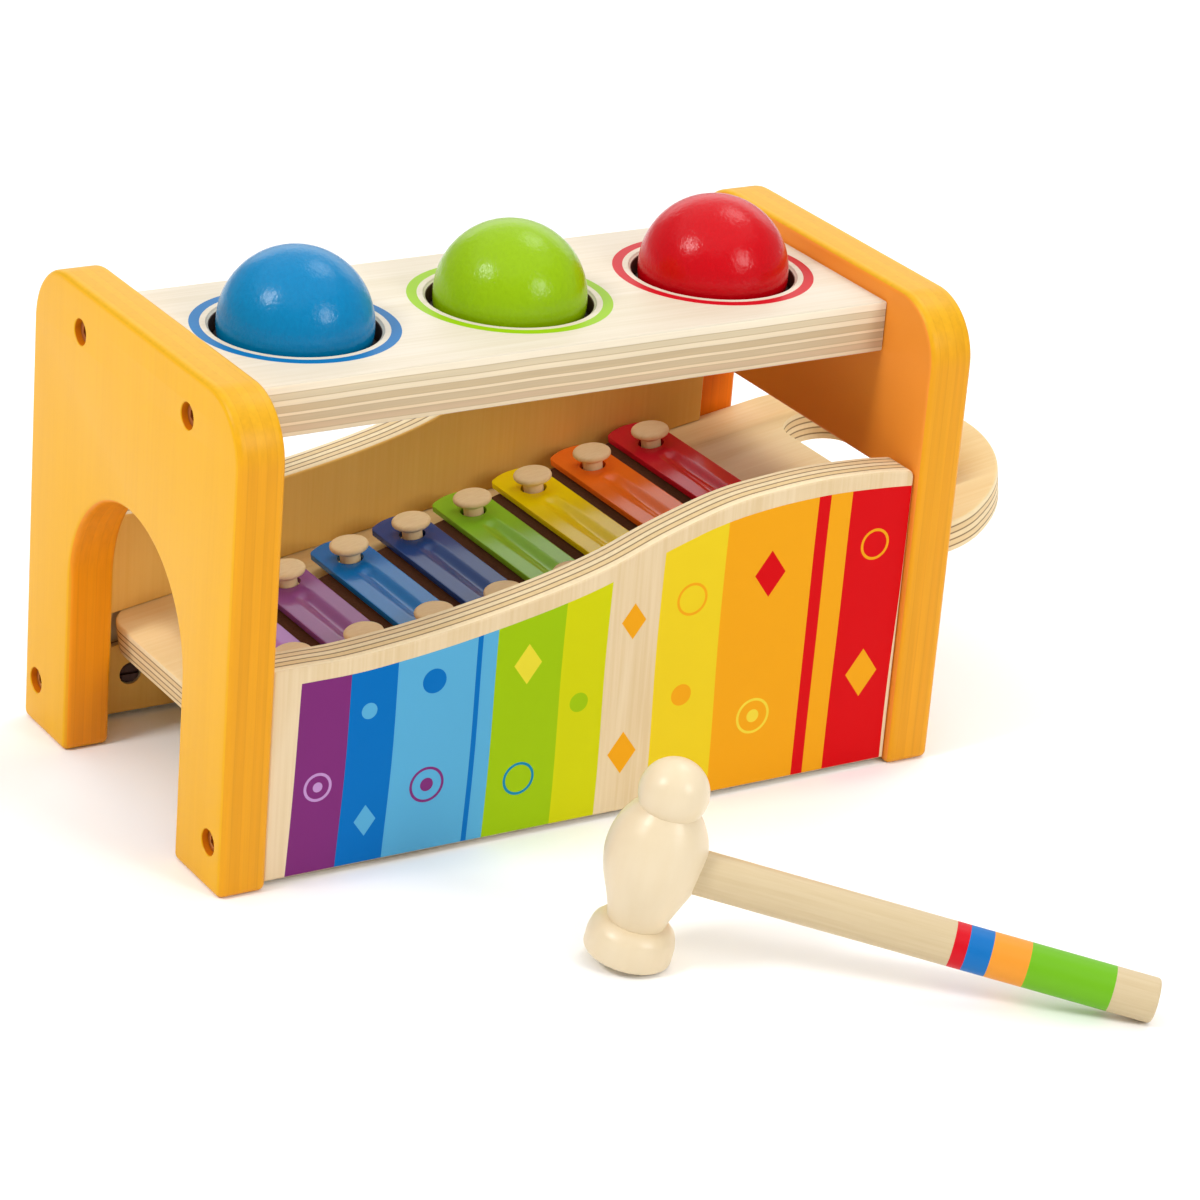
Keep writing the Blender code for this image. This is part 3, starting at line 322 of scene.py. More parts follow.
for side, sign, outline, shaded, opening, reveal_shade_tint in (
    ("left", -1, arch, "#F9B22E", 38.7, (1.10, 0.86, 0.5)),
    ("right", 1, window, "#EC9030", 58.9, (1.15, 0.62, 0.6)),
):
    # The colour given after the glue line paints each panel's face towards the bench as shade with warm bounce light.
    finish, tree, shader, colour = plywood(
        f"amber_stained_birch_plywood_{side}", (sign * PANEL_INNER, 0, 0), (sign, 0, 0), (0, 0, 1), PANEL_THICK,
        ("#E9AC08", "#E5A704"), ("#E39B0C", "#DF970A", "#E29A0B", "#DE9609", "#E39B0C"), "#DA9208", (shaded, shaded),
        gloss=0.22,
    )

    # The sawn edges of the opening, up to opening mm from the middle, are painted a deeper orange as shade with warm
    # bounce light, and the sawn edges turn paler and yellower from 134 to 151 mm up as a painted highlight of the
    # light from above. The walls of the screws' bores are painted brown as shade.
    foot = BENCH + (sign * PANEL_MIDDLE, 0, 0)
    core, opening_top, highlight_from, highlight_to, bore_shade_reach = panel_half - VENEER, 96.6, 134.0, 151.0, 4.5
    here = add_node(tree, "TexCoord").outputs["Object"]
    apart = add_node(tree, "VectorMath", {0: here, 1: (foot * 0.001).tolist()}, operation="SUBTRACT").outputs[0]
    apart = add_node(tree, "VectorMath", {0: apart}, operation="ABSOLUTE").outputs[0]
    reach = (core * 0.001, opening * 0.001, opening_top * 0.001)
    local = add_node(tree, "VectorMath", {0: apart, 1: reach}, operation="DIVIDE").outputs[0]
    x, y, z = add_node(tree, "SeparateXYZ", {0: local}).outputs
    far = add_node(tree, "Math", {0: x, 1: y}, operation="MAXIMUM").outputs[0]
    far = add_node(tree, "Math", {0: far, 1: z}, operation="MAXIMUM").outputs[0]
    highlight_share = {"Value": z, "From Min": highlight_from / opening_top, "From Max": highlight_to / opening_top}
    highlight_share = add_node(tree, "MapRange", highlight_share).outputs[0]
    sawn = add_node(tree, "Math", {0: x, 1: 1.0}, operation="LESS_THAN").outputs[0]
    highlight_share = add_node(tree, "Math", {0: highlight_share, 1: sawn}, operation="MULTIPLY").outputs[0]
    # Painted highlight: the sawn edges near the top are lifted paler and yellower.
    painted_highlight = add_node(tree, "VectorMath", {0: colour, 1: (0.98, 1.18, 1.6)}, operation="MULTIPLY").outputs[0]
    inside = add_node(tree, "Math", {0: far, 1: 1.0}, operation="LESS_THAN").outputs[0]
    # Painted shade: the opening's sawn edges are tinted a deeper orange.
    orange = add_node(tree, "VectorMath", {0: colour, 1: reveal_shade_tint}, operation="MULTIPLY").outputs[0]
    colour = add_node(tree, "Mix", {"Factor": inside, 6: colour, 7: orange}, data_type="RGBA").outputs[2]
    colour = add_node(tree, "Mix", {"Factor": highlight_share, 6: colour, 7: painted_highlight}, data_type="RGBA").outputs[2]
    flat = add_node(tree, "VectorMath", {0: apart, 1: (0, 1, 1)}, operation="MULTIPLY").outputs[0]
    # Painted shade: the walls of the screws' bores are darkened brown.
    browned = add_node(tree, "VectorMath", {0: colour, 1: (0.92, 0.58, 0.5)}, operation="MULTIPLY").outputs[0]
    for _, across, height in SCREW_SPOTS:
        axis = (0, across * 0.001, height * 0.001)
        near = add_node(tree, "VectorMath", {0: flat, 1: axis}, operation="DISTANCE").outputs["Value"]
        near = add_node(tree, "Math", {0: near, 1: bore_shade_reach * 0.001}, operation="LESS_THAN").outputs[0]
        near = add_node(tree, "Math", {0: near, 1: sawn}, operation="MULTIPLY").outputs[0]
        colour = add_node(tree, "Mix", {"Factor": near, 6: colour, 7: browned}, data_type="RGBA").outputs[2]
    tree.links.new(colour, shader.inputs["Base Color"])
    place = frame_of((0, sign, 0), (0, 0, 1), (sign * PANEL_MIDDLE, 0, 0))
    panel = plate(outline, panel_half, PANEL_EDGE, counterbores)
    new_piece(f"{side}_panel", panel, finish, "bench", [f"{side}_end_panel"], place)


# Side walls: 12.5 mm birch plywood with a waved top edge, sanded and clear lacquered, grooved on the inside for
# the sliding board and bored for the barrel nuts. The front one is printed outside with rainbow stripes and
# small motifs. The slide's own frame starts at its low end, on the board's upper face.
WALL_THICK, WALL_REACH, WALL_MIDDLE = 12.5, 110.9, 60.25
WALL_FOOT, WALL_CORNER, WALL_EDGE, WAVE_FOOT, WAVE_RISE = 1.8, 3.0, 1.0, 70.3, 32.5
wave = np.array((
    (-0.885, 0.0), (-0.769, 0.003), (-0.564, 0.069), (-0.355, 0.178), (-0.144, 0.321), (0.026, 0.478),
    (0.190, 0.689), (0.388, 0.889), (0.545, 0.966), (0.705, 1.0), (0.868, 0.988),
    ((WALL_REACH - WALL_CORNER) / WALL_REACH, 0.957),
)) * (WALL_REACH, WAVE_RISE) + (0, WAVE_FOOT)


def smooth_through(points, steps):
    """Catmull-Rom line through the points: p1 + ((p2-p0)t + (2p0-5p1+4p2-p3)t^2 + (3p1-p0-3p2+p3)t^3)/2."""
    p = np.vstack((points[:1], points, points[-1:]))
    p0, p1, p2, p3 = (p[n:len(p) - 3 + n][:, None] for n in range(4))
    t = np.linspace(0, 1, steps, endpoint=False)[None, :, None]
    line = p1 + ((p2 - p0) * t + (2 * p0 - 5 * p1 + 4 * p2 - p3) * t**2 + (3 * p1 - p0 - 3 * p2 + p3) * t**3) / 2
    return np.vstack((line.reshape(-1, 2), points[-1:]))


SLIDE_TILT = np.radians(9.47)
SLIDE_START = np.array((-105.9, 0.0, 36.6))
ALONG = np.array((np.cos(SLIDE_TILT), 0, np.sin(SLIDE_TILT)))
ABOVE = np.array((-np.sin(SLIDE_TILT), 0, np.cos(SLIDE_TILT)))
BOARD_LENGTH, BOARD_REACH, BOARD_THICK, GROOVE_START, GROOVE_PLAY = 288.8, 57.2, 11.0, 0.15, 0.3
NUT_REACH, NUT_BORE, NUT_DEPTH, CUT_OVERRUN = 97.0, 3.8, 10.8, 1.0
crest = smooth_through(wave, 12)
crest = crest[crest[:, 0] < WALL_REACH - WALL_CORNER - 0.001]
wall_outline = np.vstack((
    ((-WALL_REACH, WALL_FOOT), (WALL_REACH, WALL_FOOT)),
    arc((WALL_REACH - WALL_CORNER, wave[-1, 1] - WALL_CORNER), WALL_CORNER, 0, 90, 8),
    crest[::-1],
    ((-WALL_REACH, WAVE_FOOT),),
))


def on_slide(along=0.0, across=0.0, above=0.0):
    """The 3 x 4 placing of a point on the slide: its axes and start + along, across and above them."""
    origin = BENCH + SLIDE_START + along * ALONG + (0, across, 0) + above * ABOVE
    return np.column_stack((ALONG, (0, 1, 0), ABOVE, origin))


def lathe(profile, around=64, closed=False):
    """A turned solid about z: each (radius, height) of the profile, which runs from the top down its outer side,
    goes round in a circle. Ends on the axis become one point each; a closed profile makes a ring."""
    radius, height = np.array(profile, float).T
    turn = np.linspace(0, 2 * np.pi, around, endpoint=False)
    round_ = (radius[:, None] * np.cos(turn), radius[:, None] * np.sin(turn), height[:, None] + 0 * turn)
    down = len(radius)
    k, i = np.meshgrid(np.arange(down if closed else down - 1), np.arange(around), indexing="ij")
    j, below = (i + 1) % around, (k + 1) % down
    quads = np.stack((k * around + i, below * around + i, below * around + j, k * around + j), axis=-1).reshape(-1, 4)
    return np.stack(round_, axis=-1).reshape(-1, 3), quads.tolist(), [True] * len(quads)


def block(low, high, place):
    """A cutter box between two corners, turned and moved by place."""
    corners = np.array(np.meshgrid(*np.column_stack((low, high)), indexing="ij")).reshape(3, -1).T
    faces = [(0, 1, 3, 2), (4, 6, 7, 5), (0, 4, 5, 1), (2, 3, 7, 6), (0, 2, 6, 4), (1, 5, 7, 3)]
    return placed_mesh("groove_cutter", corners, faces, place)


def drill(places, radius, low, high, place):
    """One cutter mesh of cylinders about z at the given (x, y) places, from low to high, moved by place."""
    points, faces = [], []
    for along, across in places:
        shape, quads, _ = lathe([(0, high), (radius, high), (radius, low), (0, low)], 32)
        faces += (np.array(quads) + len(points) * len(shape)).tolist()
        points.append(shape + (along, across, 0))
    mesh = placed_mesh("bore_cutter", np.vstack(points), faces, place)
    sew(mesh, outward=True)
    return mesh


def cut_away(piece, cutter_mesh):
    """Takes a closed cutter mesh out of a piece for good."""
    cutter = bpy.data.objects.new("cutter", cutter_mesh)
    bpy.context.scene.collection.objects.link(cutter)
    change = piece.modifiers.new("cut", "BOOLEAN")
    change.operation, change.solver, change.object = "DIFFERENCE", "EXACT", cutter
    bpy.context.view_layer.update()
    settled = bpy.data.meshes.new_from_object(piece.evaluated_get(bpy.context.evaluated_depsgraph_get()))
    piece.modifiers.clear()
    old, piece.data = piece.data, settled
    bpy.data.meshes.remove(old)
    bpy.data.objects.remove(cutter, do_unlink=True)


groove_low = (GROOVE_START, -BOARD_REACH - GROOVE_PLAY, -BOARD_THICK - GROOVE_PLAY)
groove_high = (BOARD_LENGTH, BOARD_REACH + GROOVE_PLAY, GROOVE_PLAY)
wall_inner = WALL_MIDDLE - WALL_THICK / 2
nut_height = SCREW_SPOTS[1][2]
for face, sign in (("front", -1), ("back", 1)):
    # The last pair of colours paints the face towards the bench warmer and more orange, as shade with warm bounce
    # light from the amber panels.
    finish, tree, shader, colour = plywood(
        f"lacquered_birch_plywood_{face}_wall", (0, sign * wall_inner, 0), (0, sign, 0), (0, 0, 1), WALL_THICK,
        ("#E4CEAA", "#D9BF94"), ("#E8D5AE", "#E2CA9E", "#E8D6B0", "#DFC697", "#EAD8B3"), "#5E3A18",
        ("#EDBE66", "#E8B65C"), line=0.46, gloss=0.06,
    )
    place = frame_of((1, 0, 0), (0, 0, 1), (0, sign * WALL_MIDDLE, 0))
    sheet = plate(wall_outline, WALL_THICK / 2, WALL_EDGE)
    wall = new_piece(f"{face}_side_wall", sheet, finish, "bench", [f"{face}_wall"], place)
    cut_away(wall, block(groove_low, groove_high, on_slide()))
    inwards = frame_of((1, 0, 0), (0, 0, -sign), (0, sign * wall_inner, nut_height))
    for reach in (-NUT_REACH, NUT_REACH):
        cut_away(wall, drill(((reach, 0),), NUT_BORE, -CUT_OVERRUN, NUT_DEPTH, inwards))
    if face == "back":
        continue

    # The print, on the outer face only: twelve upright stripes and a bare one, whose edges sway by half a
    # millimetre every 70 mm, the left ones leaning out at the foot. They end 5.5 mm under the waved edge, with a
    # bare margin at both ends. mean is the sway's middle, which is taken off again.
    here = add_node(tree, "TexCoord").outputs["Object"]
    centred = {"Vector": here, "Location": (-BENCH[0] * 0.001, 0, 0), "Scale": (1, 0, 1)}
    flat = add_node(tree, "Mapping", centred).outputs[0]
    x, _, z = add_node(tree, "SeparateXYZ", {0: flat}).outputs
    wide, sway_by, mean, lean_by, lean_foot = WALL_REACH * 0.001, 0.003, 0.0015, 0.045, 0.050
    sway = add_node(tree, "TexNoise", {"Vector": flat, "Scale": 14.0, "Detail": 0.0}).outputs[0]
    sway = add_node(tree, "Math", {0: sway, 1: sway_by, 2: x}, operation="MULTIPLY_ADD").outputs[0]
    lean = {"Value": x, "From Min": -0.105, "From Max": 0.015, "To Min": lean_by, "To Max": 0.0}
    lean = add_node(tree, "MapRange", lean).outputs[0]
    rise = add_node(tree, "Math", {0: lean_foot, 1: z}, operation="SUBTRACT").outputs[0]
    sway = add_node(tree, "Math", {0: rise, 1: lean, 2: sway}, operation="MULTIPLY_ADD").outputs[0]
    across = add_node(tree, "MapRange", {"Value": sway, "From Min": mean - wide, "From Max": mean + wide}).outputs[0]
    ramp = add_node(tree, "ValToRGB", {"Fac": across})
    ramp.color_ramp.interpolation = "CONSTANT"
    stripes = (
        (-103.1, "#792C70"), (-85.8, "#0069B4"), (-70.7, "#56A5CD"), (-44.0, "#0069B4"), (-42.1, "#56A5CD"),
        (-36.5, "#98BB06"), (-13.5, "#C8C806"), (1.9, None), (20.7, "#E3C51E"), (42.9, "#E79E12"),
        (74.6, "#CE0008"), (79.3, "#E79E12"), (87.4, "#CE0008"), (109.6, None),
    )
    ramp.color_ramp.elements[0].color = (0, 0, 0, 0)
    ramp.color_ramp.elements.remove(ramp.color_ramp.elements[1])
    for at, shade in stripes:
        stop = ramp.color_ramp.elements.new((at + WALL_REACH) / (2 * WALL_REACH))
        stop.color = linear(shade) if shade else (0, 0, 0, 0)

    # The waved edge as a curve of 17 knots, from 60 to 110 mm up.
    share = add_node(tree, "MapRange", {"Value": x, "From Min": -wide, "From Max": wide}).outputs[0]
    curve = add_node(tree, "FloatCurve", {"Value": share})
    curve_foot, curve_rise, margin = 60.0, 50.0, 5.5
    spots = np.linspace(-WALL_REACH, WALL_REACH, 17)
    heights = (np.interp(spots, crest[:, 0], crest[:, 1]) - curve_foot) / curve_rise
    knots = curve.mapping.curves[0].points
    knots[0].location, knots[1].location = (0.0, heights[0]), (1.0, heights[-1])
    for spot, height in zip(spots[1:-1], heights[1:-1]):
        knots.new((spot + WALL_REACH) / (2 * WALL_REACH), height)
    curve.mapping.update()
    top = {0: curve.outputs[0], 1: curve_rise * 0.001, 2: (curve_foot - margin) * 0.001}
    top = add_node(tree, "Math", top, operation="MULTIPLY_ADD").outputs[0]
    under = add_node(tree, "Math", {0: z, 1: top}, operation="LESS_THAN").outputs[0]
    print_face = (BENCH[1] - WALL_MIDDLE - WALL_THICK / 2 + 0.2) * 0.001
    outside = add_node(tree, "SeparateXYZ", {0: here}).outputs["Y"]
    outside = add_node(tree, "Math", {0: outside, 1: print_face}, operation="LESS_THAN").outputs[0]
    printed = add_node(tree, "Math", {0: under, 1: outside}, operation="MULTIPLY").outputs[0]
    printed = add_node(tree, "Math", {0: printed, 1: ramp.outputs["Alpha"]}, operation="MULTIPLY").outputs[0]
    ink = {"Factor": printed, 6: colour, 7: ramp.outputs["Color"]}
    ink = add_node(tree, "Mix", ink, data_type="RGBA").outputs[2]

    # Motifs by kind, place along and up the wall, size in mm and colour. A ring's line is 0.9 mm wide, and a
    # diamond is where 1.25 |x| + 0.9 |z| stays under its size.
    motifs = (
        ("ring", -94.5, 30, 4.2, "#B98CC2"), ("dot", -94.5, 30, 1.6, "#B98CC2"), ("dot", -78.5, 52, 2.6, "#56A5CD"),
        ("diamond", -78.0, 16, 4.6, "#56A5CD"), ("dot", -57.0, 58, 4.0, "#0069B4"),
        ("ring", -57.5, 24, 5.4, "#792C70"), ("dot", -57.5, 24, 2.2, "#792C70"),
        ("diamond", -25.0, 58, 6.0, "#DFD034"), ("ring", -25.5, 20, 5.0, "#0A7FA0"),
        ("dot", -6.0, 42, 3.2, "#98BB06"), ("diamond", 11.5, 66, 5.4, "#E79E12"),
        ("diamond", 11.0, 22, 6.4, "#E79E12"), ("dot", 31.0, 38, 3.6, "#E79E12"), ("ring", 32.0, 70, 5.0, "#E79E12"),
        ("ring", 58.5, 26, 5.6, "#E6CC3A"), ("dot", 58.5, 26, 2.2, "#E6CC3A"), ("diamond", 60.0, 74, 7.0, "#CE0008"),
        ("diamond", 98.5, 34, 7.4, "#E79E12"), ("ring", 98.5, 78, 4.8, "#E79E12"),
    )
    ring_line, diamond_slopes = 0.45, (1.25, 0, 0.9)
    for kind, along, up, size, shade in motifs:
        centre = (along * 0.001, 0, up * 0.001)
        apart = add_node(tree, "VectorMath", {0: flat, 1: centre}, operation="SUBTRACT").outputs[0]
        if kind == "diamond":
            apart = add_node(tree, "VectorMath", {0: apart}, operation="ABSOLUTE").outputs[0]
            far = add_node(tree, "VectorMath", {0: apart, 1: diamond_slopes}, operation="DOT_PRODUCT").outputs["Value"]
        else:
            far = add_node(tree, "VectorMath", {0: apart}, operation="LENGTH").outputs["Value"]
        if kind == "ring":
            limits = {0: far, 1: size * 0.001, 2: ring_line * 0.001}
            inside = add_node(tree, "Math", limits, operation="COMPARE").outputs[0]
        else:
            inside = add_node(tree, "Math", {0: far, 1: size * 0.001}, operation="LESS_THAN").outputs[0]
        inside = add_node(tree, "Math", {0: inside, 1: outside}, operation="MULTIPLY").outputs[0]
        ink = add_node(tree, "Mix", {"Factor": inside, 6: ink, 7: linear(shade)}, data_type="RGBA").outputs[2]
    tree.links.new(ink, shader.inputs["Base Color"])


# Top board: 16.6 mm birch plywood, clear lacquered; its edge shows pale plies cut along the grain and darker
# ones cut across it. It is bored through for the three balls. Each bore has a groove for its rubber ring, a
# wall painted dark brown as the shade in the gap round the ball, eased edges and a painted ring on top.
TOP_THICK, TOP_FACE, HOLE_RADIUS = 16.6, 148.5, 25.7
TOP_EDGE, TOP_REACH, PAINT_RADIUS, PAINT_LINE = 0.7, 42.35, 30.1, 1.6
SEAT_RADIUS, SEAT_TOP, SEAT_FOOT = 27.6, 2.4, -3.2
HOLES = (("blue", -73.65, "#046CA8"), ("green", 0.0, "#94BE06"), ("red", 73.65, "#C4061A"))
top_half = TOP_THICK / 2
hole_wall = [
    (HOLE_RADIUS + 1.0, top_half), (HOLE_RADIUS + 0.7, top_half - 0.3), (HOLE_RADIUS + 0.3, top_half - 0.6),
    (HOLE_RADIUS, top_half - 1.0), (HOLE_RADIUS, SEAT_TOP), (SEAT_RADIUS, SEAT_TOP), (SEAT_RADIUS, SEAT_FOOT),
    (HOLE_RADIUS, SEAT_FOOT), (HOLE_RADIUS, 1.0 - top_half), (HOLE_RADIUS + 1.0, -top_half),
]
finish, tree, shader, colour = plywood(
    "lacquered_birch_plywood_top", (0, 0, TOP_FACE - TOP_THICK), (0, 0, 1), (1, 0, 0), TOP_THICK,
    ("#DED3C1", "#D5C8B0"),
    ("#DECBAB", "#C9AF8F", "#E0C9A6", "#C6B190", "#E4D0AF", "#C6B18E", "#E6D6B8", "#D6C6A6", "#EEE2CA"),
    "#BAA484", line=0.22, gloss=0.15, laid=(1.6, 2.0, 1.1, 2.0, 1.1, 2.1, 1.9, 2.1, 2.7),
)
here = add_node(tree, "TexCoord").outputs["Object"]
level = add_node(tree, "VectorMath", {0: here, 1: (1, 1, 0)}, operation="MULTIPLY").outputs[0]
upper = add_node(tree, "SeparateXYZ", {0: here}).outputs["Z"]
upper = add_node(tree, "Math", {0: upper, 1: (TOP_FACE - 0.2) * 0.001}, operation="GREATER_THAN").outputs[0]
for _, x, shade in HOLES:
    centre = ((BENCH[0] + x) * 0.001, BENCH[1] * 0.001, TOP_FACE * 0.001)
    far = add_node(tree, "VectorMath", {0: here, 1: centre}, operation="DISTANCE").outputs["Value"]
    limits = {0: far, 1: PAINT_RADIUS * 0.001, 2: PAINT_LINE * 0.001}
    painted = add_node(tree, "Math", limits, operation="COMPARE").outputs[0]
    painted = add_node(tree, "Math", {0: painted, 1: upper}, operation="MULTIPLY").outputs[0]
    colour = add_node(tree, "Mix", {"Factor": painted, 6: colour, 7: linear(shade)}, data_type="RGBA").outputs[2]
    near = {0: level, 1: (centre[0], centre[1], 0)}
    near = add_node(tree, "VectorMath", near, operation="DISTANCE").outputs["Value"]
    # Painted shade: where the bore lies, the colour is dark brown.
    painted_bore_shade = add_node(tree, "Math", {0: near, 1: (HOLE_RADIUS + 0.2) * 0.001}, operation="LESS_THAN").outputs[0]
    colour = add_node(tree, "Mix", {"Factor": painted_bore_shade, 6: colour, 7: linear("#5E3E30")}, data_type="RGBA").outputs[2]
tree.links.new(colour, shader.inputs["Base Color"])
corner = np.array(((-1, -1), (1, -1), (1, 1), (-1, 1))) * (WALL_REACH, TOP_REACH)
new_piece(
    "top_plank", plate(corner, top_half, TOP_EDGE, [((x, 0), hole_wall) for _, x, _ in HOLES], around=96), finish,
    "bench", ["top_board"], frame_of((1, 0, 0), (0, 1, 0), (0, 0, TOP_FACE - top_half)),
)


# Ball rings: dark brown rubber O-rings, moulded 5 mm thick and pressed into the grooves of the bores. The rubber
# is matt, with a faint bloom in patches of 2.5 mm.
def dapple(tree, shader, pattern, low, high, strength=0.0, depth=0.0):
    """Colours a finish from low to high as the pattern goes from 0 to 1, and returns that colour. With a strength
    the pattern also stands up from the surface, by depth in mm times the strength."""
    tint = add_node(tree, "Mix", {"Factor": pattern, 6: low, 7: high}, data_type="RGBA").outputs[2]
    tree.links.new(tint, shader.inputs["Base Color"])
    if strength:
        bump = {"Height": pattern, "Strength": strength, "Distance": depth * 0.001}
        tree.links.new(add_node(tree, "Bump", bump).outputs[0], shader.inputs["Normal"])
    return tint


rubber, tree, shader = new_finish("moulded_brown_rubber", 0.62, IOR=1.52)
here = add_node(tree, "TexCoord").outputs["Object"]
bloom = add_node(tree, "TexNoise", {"Vector": here, "Scale": 400.0, "Detail": 3.0}).outputs[0]
dapple(tree, shader, bloom, linear("#3A2A22"), linear("#4E3A30"))
RING_RADIUS, CORD_RADIUS, RING_HEIGHT = 24.8, 2.5, 139.8
ring_section = arc((RING_RADIUS, 0), CORD_RADIUS, 0, -360, 24)[:-1]
for name, x, _ in HOLES:
    new_piece(
        f"rubber_ring_{name}", lathe(ring_section, 96, closed=True), rubber, "bench", [f"ring_{name}"],
        frame_of((1, 0, 0), (0, 1, 0), (x, 0, RING_HEIGHT)),
    )


# Balls: turned wood, 47.4 mm across, dipped in coloured lacquer. The coat pools softly over the grain, which
# breaks up the highlights, and shades a little darker where it is thick. The grain is too fine to show, so it is
# drawn 1.2 mm wide and 1.8 mm high.
BALL_RADIUS, BALL_HEIGHT = 23.7, 149.14
BALL_SHADES = (("#0072A6", "#0082B8"), ("#88AE00", "#95BD06"), ("#BE000E", "#CC0212"))
ball_profile = arc((0, 0), BALL_RADIUS, 90, -90, 64)
for (name, x, _), (deep, clear) in zip(HOLES, BALL_SHADES):
    lacquer, tree, shader = new_finish(f"dipped_{name}_lacquer", 0.20, Specular_IOR_Level=0.32, IOR=1.40)
    here = add_node(tree, "TexCoord").outputs["Object"]
    local = add_node(tree, "Mapping", {"Vector": here, "Scale": (850.0, 850.0, 550.0)}).outputs[0]
    grain = add_node(tree, "TexNoise", {"Vector": local, "Scale": 1.0, "Detail": 3.0, "Roughness": 0.55}).outputs[0]
    dapple(tree, shader, grain, linear(deep), linear(clear), 0.5, 0.3)
    new_piece(
        f"{name}_ball", lathe(ball_profile, 128), lacquer, f"{name}_ball", [f"ball_{name}"],
        frame_of((1, 0, 0), (0, 1, 0), (x, 0, BALL_HEIGHT)),
    )


# Xylophone board: 11 mm birch plywood, sanded and clear lacquered, with a bowed front end and a finger slot
# cut through near it. It slides in the grooves of the side walls.
TAIL_CORNER, NOSE_RADIUS, NOSE_CORNER, BOARD_EDGE = 12.0, 60.7, 30.0, 1.0
SLOT_LENGTH, SLOT_WIDTH, SLOT_ALONG, SLOT_CUT = 76.0, 23.5, 248.6, 9.0
nose_centre, tail_across = BOARD_LENGTH - NOSE_RADIUS, BOARD_REACH - TAIL_CORNER
corner_across = BOARD_REACH - NOSE_CORNER
corner_along = nose_centre + np.sqrt((NOSE_RADIUS - NOSE_CORNER) ** 2 - corner_across**2)
lean = np.degrees(np.arctan2(corner_across, corner_along - nose_centre))
board_outline = np.vstack((
    arc((TAIL_CORNER, -tail_across), TAIL_CORNER, 180, 270, 12),
    arc((corner_along, -corner_across), NOSE_CORNER, -90, -lean, 16),
    arc((nose_centre, 0), NOSE_RADIUS, -lean, lean, 32)[1:-1],
    arc((corner_along, corner_across), NOSE_CORNER, lean, 90, 16),
    arc((TAIL_CORNER, tail_across), TAIL_CORNER, 90, 180, 12),
))
finish, *_ = plywood(
    "lacquered_birch_plywood_slide", SLIDE_START - BOARD_THICK * ABOVE, ABOVE, ALONG, BOARD_THICK,
    ("#EED4A0", "#E8CA92"), ("#E8D2A8", "#E2C798", "#E8D1A6", "#E1C595", "#E9D4AA"), "#664220", line=0.4, gloss=0.06,
)
board_place = on_slide(above=-BOARD_THICK / 2)
board_shape = plate(board_outline, BOARD_THICK / 2, BOARD_EDGE)
board = new_piece("slide_board", board_shape, finish, "xylophone", ["xylophone_board"], board_place)

# The finger slot: two half circles of half its width joined by straight sides.
slot_radius, slot_reach = SLOT_WIDTH / 2, SLOT_LENGTH / 2 - SLOT_WIDTH / 2
slot_outline = np.vstack((
    arc((SLOT_ALONG, slot_reach), slot_radius, 0, 180, 24), arc((SLOT_ALONG, -slot_reach), slot_radius, 180, 360, 24),
))
slot_points, slot_faces, _ = plate(slot_outline, SLOT_CUT, 0.0, steps=1)
slot_cutter = placed_mesh("slot_cutter", slot_points, slot_faces, board_place)
sew(slot_cutter)
cut_away(board, slot_cutter)


# Felt pad: a dark brown wool felt strip, cut to the keys' taper, that the keys lie on. It swallows light and has
# a short tangled nap. Its fibres are too fine to show, so they are drawn as tufts of 0.7 mm.
PAD_HALF, PAD_LIFT, PAD_EDGE = 2.45, 2.75, 0.5
felt, tree, shader = new_finish("pressed_dark_brown_felt", 0.95, Specular_IOR_Level=0.05)
here = add_node(tree, "TexCoord").outputs["Object"]
nap = add_node(tree, "TexNoise", {"Vector": here, "Scale": 1400.0, "Detail": 4.0, "Roughness": 0.7}).outputs[0]
dapple(tree, shader, nap, linear("#442818"), linear("#6C4630"), 0.6, 0.4)
pad_outline = np.array((
    (20.05, -17.8), (183.55, -50.5), (196.55, -50.5), (196.55, 50.5), (183.55, 50.5), (20.05, 17.8),
))
new_piece(
    "key_felt", plate(pad_outline, PAD_HALF, PAD_EDGE, steps=3), felt, "xylophone", ["felt_pad"],
    on_slide(above=PAD_LIFT),
)


# Keys: eight steel tone bars, each pressed with a shallow channel along its middle, bored for two pegs and
# sprayed in its own gloss enamel. The spray dries with an orange peel of 1.1 mm, which ruffles the highlights.
KEY_COLOURS = (
    ("lilac", "#B87CD0"), ("purple", "#9A569A"), ("blue", "#0A7CD0"), ("navy", "#284C94"),
    ("green", "#90CC2E"), ("yellow", "#FFE400"), ("orange", "#FF7A1E"), ("crimson", "#D41830"),
)
KEY_SPOTS = np.column_stack((26.4 + 23.4 * np.arange(8), 23.8 + 1.87 * np.arange(8)))
KEY_LENGTHS = 74.0 + 4.7 * np.arange(8)
KEY_HALF, KEY_CORNER, KEY_BOW, KEY_EASE, KEY_LIFT = 8.85, 1.2, 3.2, 0.3, 6.5
CHANNEL_HALF, CHANNEL_RUN, CHANNEL_DEEP, CHANNEL_INSET = 4.0, 6.0, 1.1, 6.0
PEG_HOLE, PEG_HOLE_FOOT, PEG_HOLE_TOP = 4.25, 3.0, 9.0


